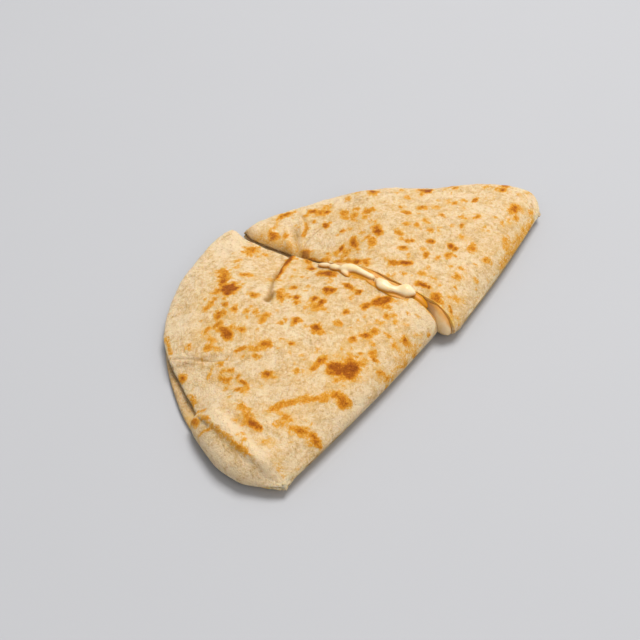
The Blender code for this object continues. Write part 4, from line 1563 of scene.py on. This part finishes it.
FAR_CREASES = (
    # A flat band of painted shade along the far tip's rolled cut edge and the gap beneath it.
    Crease(((9.6, 114), (8.2, 96), (7.6, 88), (7.0, 80), (6.4, 72), (5.8, 64)), 0.0, 6.2, shade_and_stain=0.62),
    Crease(((3, 75.5), (7.1, 77), (12.2, 81.6), (16.6, 85.8), (19, 90)), -1.1, 2.2, shade_and_stain=0.3),
    Crease(((5, 80.5), (10.5, 84), (14, 88)), 0.6, 2.2),
    Crease(((13.5, 79), (15.4, 80.2), (20.3, 82.3), (24.3, 86.5), (25, 91)), -0.5, 0.9, step=0.5, reach=3.5,
           shade_and_stain=0.3),
    Crease(((25, 75), (16.9, 77.3), (13, 77.8), (9, 77)), -0.5, 0.9, step=0.5, reach=4.0, shade_and_stain=0.3),
    Crease(((10, 88), (15, 91)), -0.3, 0.9, shade_and_stain=0.15),
)

NEAR = Wedge(
    name="near",
    corner=(3.8, -47.4),
    fold_degrees=177.5,
    hand=-1,
    sector=87.0,
    fold_bow=1.2,
    cut_shift=0.0,
    top_rim=(
        (0, 91.5), (3, 95.6), (6, 98.2), (14, 101.7), (20, 101.9), (24.2, 101.9), (25.3, 101.3), (26.6, 98.6),
        (28.5, 98.0), (33, 98.9), (37, 99.9), (41, 101.7), (46, 103.5),
        (54, 104.3), (64, 103.9), (75, 102.6), (83, 101.8), (87, 100.0),
    ),
    base_rim=(
        (0, 91.5), (4, 94.2), (8, 96.5), (19, 99.2), (24, 100.6), (28, 101.2), (34, 101.6), (44, 102.8), (54, 103.7),
        (64, 103.4),
        (75, 102.1), (83, 101.2), (87, 99.4),
    ),
    filling_rim=((0, 77), (15, 83), (33, 85), (48, 73), (62, 61), (75, 58), (87, 56)),
    shoulder=5.6,
    shoulder_end=26.0,
    tear_lift=1.3,
    tip_roll=(0.7, 2.5),
    cut_trim=(
        (0, 0.2), (3, 0.5), (6, 0.8), (9.5, 0.8), (13, 0.6), (18, 0.3), (24, 0), (35, 0), (60, 0), (66, 0),
        (70, 0.3), (73.5, 0.7), (78.5, 1.4), (83.5, 2.1),
        (88.5, 2.3), (95, 2.0), (101, 0.4),
    ),
    seed=11,
    scorches=NEAR_SCORCHES,
    pale=NEAR_PALE_AND_HIGHLIGHT,
    streaks=NEAR_STREAKS,
    creases=NEAR_CREASES,
)

FAR = Wedge(
    name="far",
    corner=(6.4, -53.3),
    fold_degrees=4.95,
    hand=1,
    sector=85.3,
    fold_bow=1.1,
    cut_shift=2.5,
    top_rim=(
        (0, 80.8), (2, 86.4), (4.5, 90.6), (8, 91.6), (14, 90.9), (21, 88.6), (27, 86.3), (34, 84.7),
        (41, 85.9), (49, 88.3), (58, 90.2), (67, 93.2), (76, 97.1), (81, 100.5), (85.3, 102.2),
    ),
    base_rim=(
        (0, 80.8), (4, 84.2), (9, 87.6), (15, 88.8), (27, 85.8), (34, 84.4), (49, 87.8), (67, 92.8),
        (76, 96.7), (85.3, 101.6),
    ),
    filling_rim=((0, 67), (15, 73), (35, 71), (50, 69), (62, 64), (75, 60), (85.3, 58)),
    shoulder=2.8,
    shoulder_end=60.0,
    tear_lift=0.0,
    tip_roll=(1.9, 5.5),
    cut_trim=(
        (0, -1.5), (5, -1.3), (10, -0.5), (15, 0), (40, 0), (62, 0), (66, -0.1), (70.5, -0.4), (75, -1.2), (80, -2.2), (85, -2.7),
        (90, -3.4), (96, -3.9), (100.5, -3.8), (104, -2.2),
    ),
    seed=47,
    scorches=FAR_SCORCHES,
    pale=FAR_PALE,
    streaks=FAR_STREAKS,
    creases=FAR_CREASES,
)

LONG_STRAND = Strand((
    Station(28.7, 1.7, 1.2, 1.0, 0.8),
    Station(29.9, 1.8, 1.2, 1.05, 0.9),
    Station(31.5, 1.9, 1.15, 1.05, 0.9),
    Station(33.3, 1.9, 1.2, 1.1, 0.9),
    Station(35.5, 1.8, 1.35, 1.25, 1.0),
    Station(37.8, 1.6, 1.7, 1.55, 1.1),
    Station(39.2, 1.7, 1.95, 1.75, 1.1),
    Station(41.0, 2.2, 2.0, 1.7, 1.0),
    Station(42.6, 2.8, 1.8, 1.5, 0.9),
    Station(44.1, 3.1, 1.25, 1.1, 0.8),
    Station(45.3, 3.2, 1.35, 1.15, 0.8),
    Station(46.9, 2.8, 1.5, 1.2, 0.8),
    Station(49.0, 2.1, 0.9, 0.8, 0.6),
    Station(51.1, 1.8, 1.3, 0.95, 0.7),
    Station(53.0, 1.8, 1.15, 0.8, 0.6),
    Station(55.3, 1.8, 0.7, 0.5, 0.4),
))

SHORT_STRAND = Strand((
    Station(12.4, -1.1, 1.1, 0.9, 0.3),
    Station(13.4, -0.9, 1.9, 1.6, 0.7),
    Station(14.8, -0.5, 2.5, 2.1, 0.9),
    Station(16.4, 0.0, 2.7, 2.2, 1.0),
    Station(17.8, 0.8, 2.3, 1.9, 0.9),
    Station(19.3, 1.7, 1.7, 1.4, 0.9),
    Station(20.5, 2.1, 1.65, 1.4, 0.9),
    Station(21.9, 2.5, 1.95, 1.5, 0.9),
    Station(23.5, 2.5, 2.3, 1.65, 0.9),
    Station(25.2, 2.3, 2.55, 1.7, 0.9),
    Station(26.6, 1.8, 2.5, 1.5, 0.8),
    Station(28.4, 1.4, 2.3, 1.2, 0.6),
), lumps=0.12)

DRIP = Strand((
    Station(37.4, 5.9, 0.7, 0.45, 0.25),
    Station(38.7, 5.4, 1.1, 0.75, 0.45),
    Station(40.3, 4.5, 1.4, 1.0, 0.6),
    Station(42.8, 3.6, 1.3, 1.0, 0.7),
))

OILY_FILM = Strand((
    Station(14.0, 2.6, 0.9, 0.35, 0.0),
    Station(21.0, 3.9, 1.1, 0.38, 0.0),
    Station(27.0, 3.9, 1.1, 0.38, 0.0),
    Station(33.0, 3.0, 1.3, 0.40, 0.0),
    Station(39.5, 3.9, 1.4, 0.40, 0.0),
    Station(44.0, 4.0, 0.9, 0.35, 0.0),
), lumps=0.2)

SLOT_CHEESE = Strand((
    Station(7.0, -1.3, 1.0, 1.0, -2.7),
    Station(9.0, -1.5, 1.7, 1.5, -2.6),
    Station(11.5, -1.8, 2.3, 2.0, -2.5),
    Station(14.5, -2.0, 2.5, 2.2, -2.5),
    Station(18.0, -1.6, 2.1, 2.2, -2.3),
    Station(22.0, -1.3, 2.0, 2.2, -2.4),
    Station(32.0, -0.9, 2.0, 2.2, -2.2),
    Station(42.0, -0.6, 1.8, 2.0, -1.8),
    Station(50.0, -0.2, 1.5, 1.4, -1.2),
))


def main() -> None:
    """Build the quesadilla and its studio."""
    logging.basicConfig(level=logging.INFO, format="%(message)s")
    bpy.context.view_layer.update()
    Studio().build(PaleFloor().material("pale_floor"))
    tortilla = ToastedTortilla().material("toasted_tortilla")
    cheese = MeltedCheese().material("melted_cheese")
    for wedge, swell, oily, smear in ((NEAR, (1.0, 0.9), 0.06, 0.0), (FAR, (4.6, 1.2), 0.28, 1.6)):
        dress(Tortilla(wedge).build(), tortilla, [f"{wedge.name}_tortilla"])
        filling = Filling(wedge, swell=swell, oily_by_fold=oily, smear=smear)
        dress(filling.build(), cheese, [f"{wedge.name}_cheese"])
    run = CheeseRun(NEAR, (LONG_STRAND, SHORT_STRAND, DRIP, OILY_FILM, SLOT_CHEESE))
    dress(run.build(), cheese, ["cheese_run"])


if __name__ == "__main__":
    main()
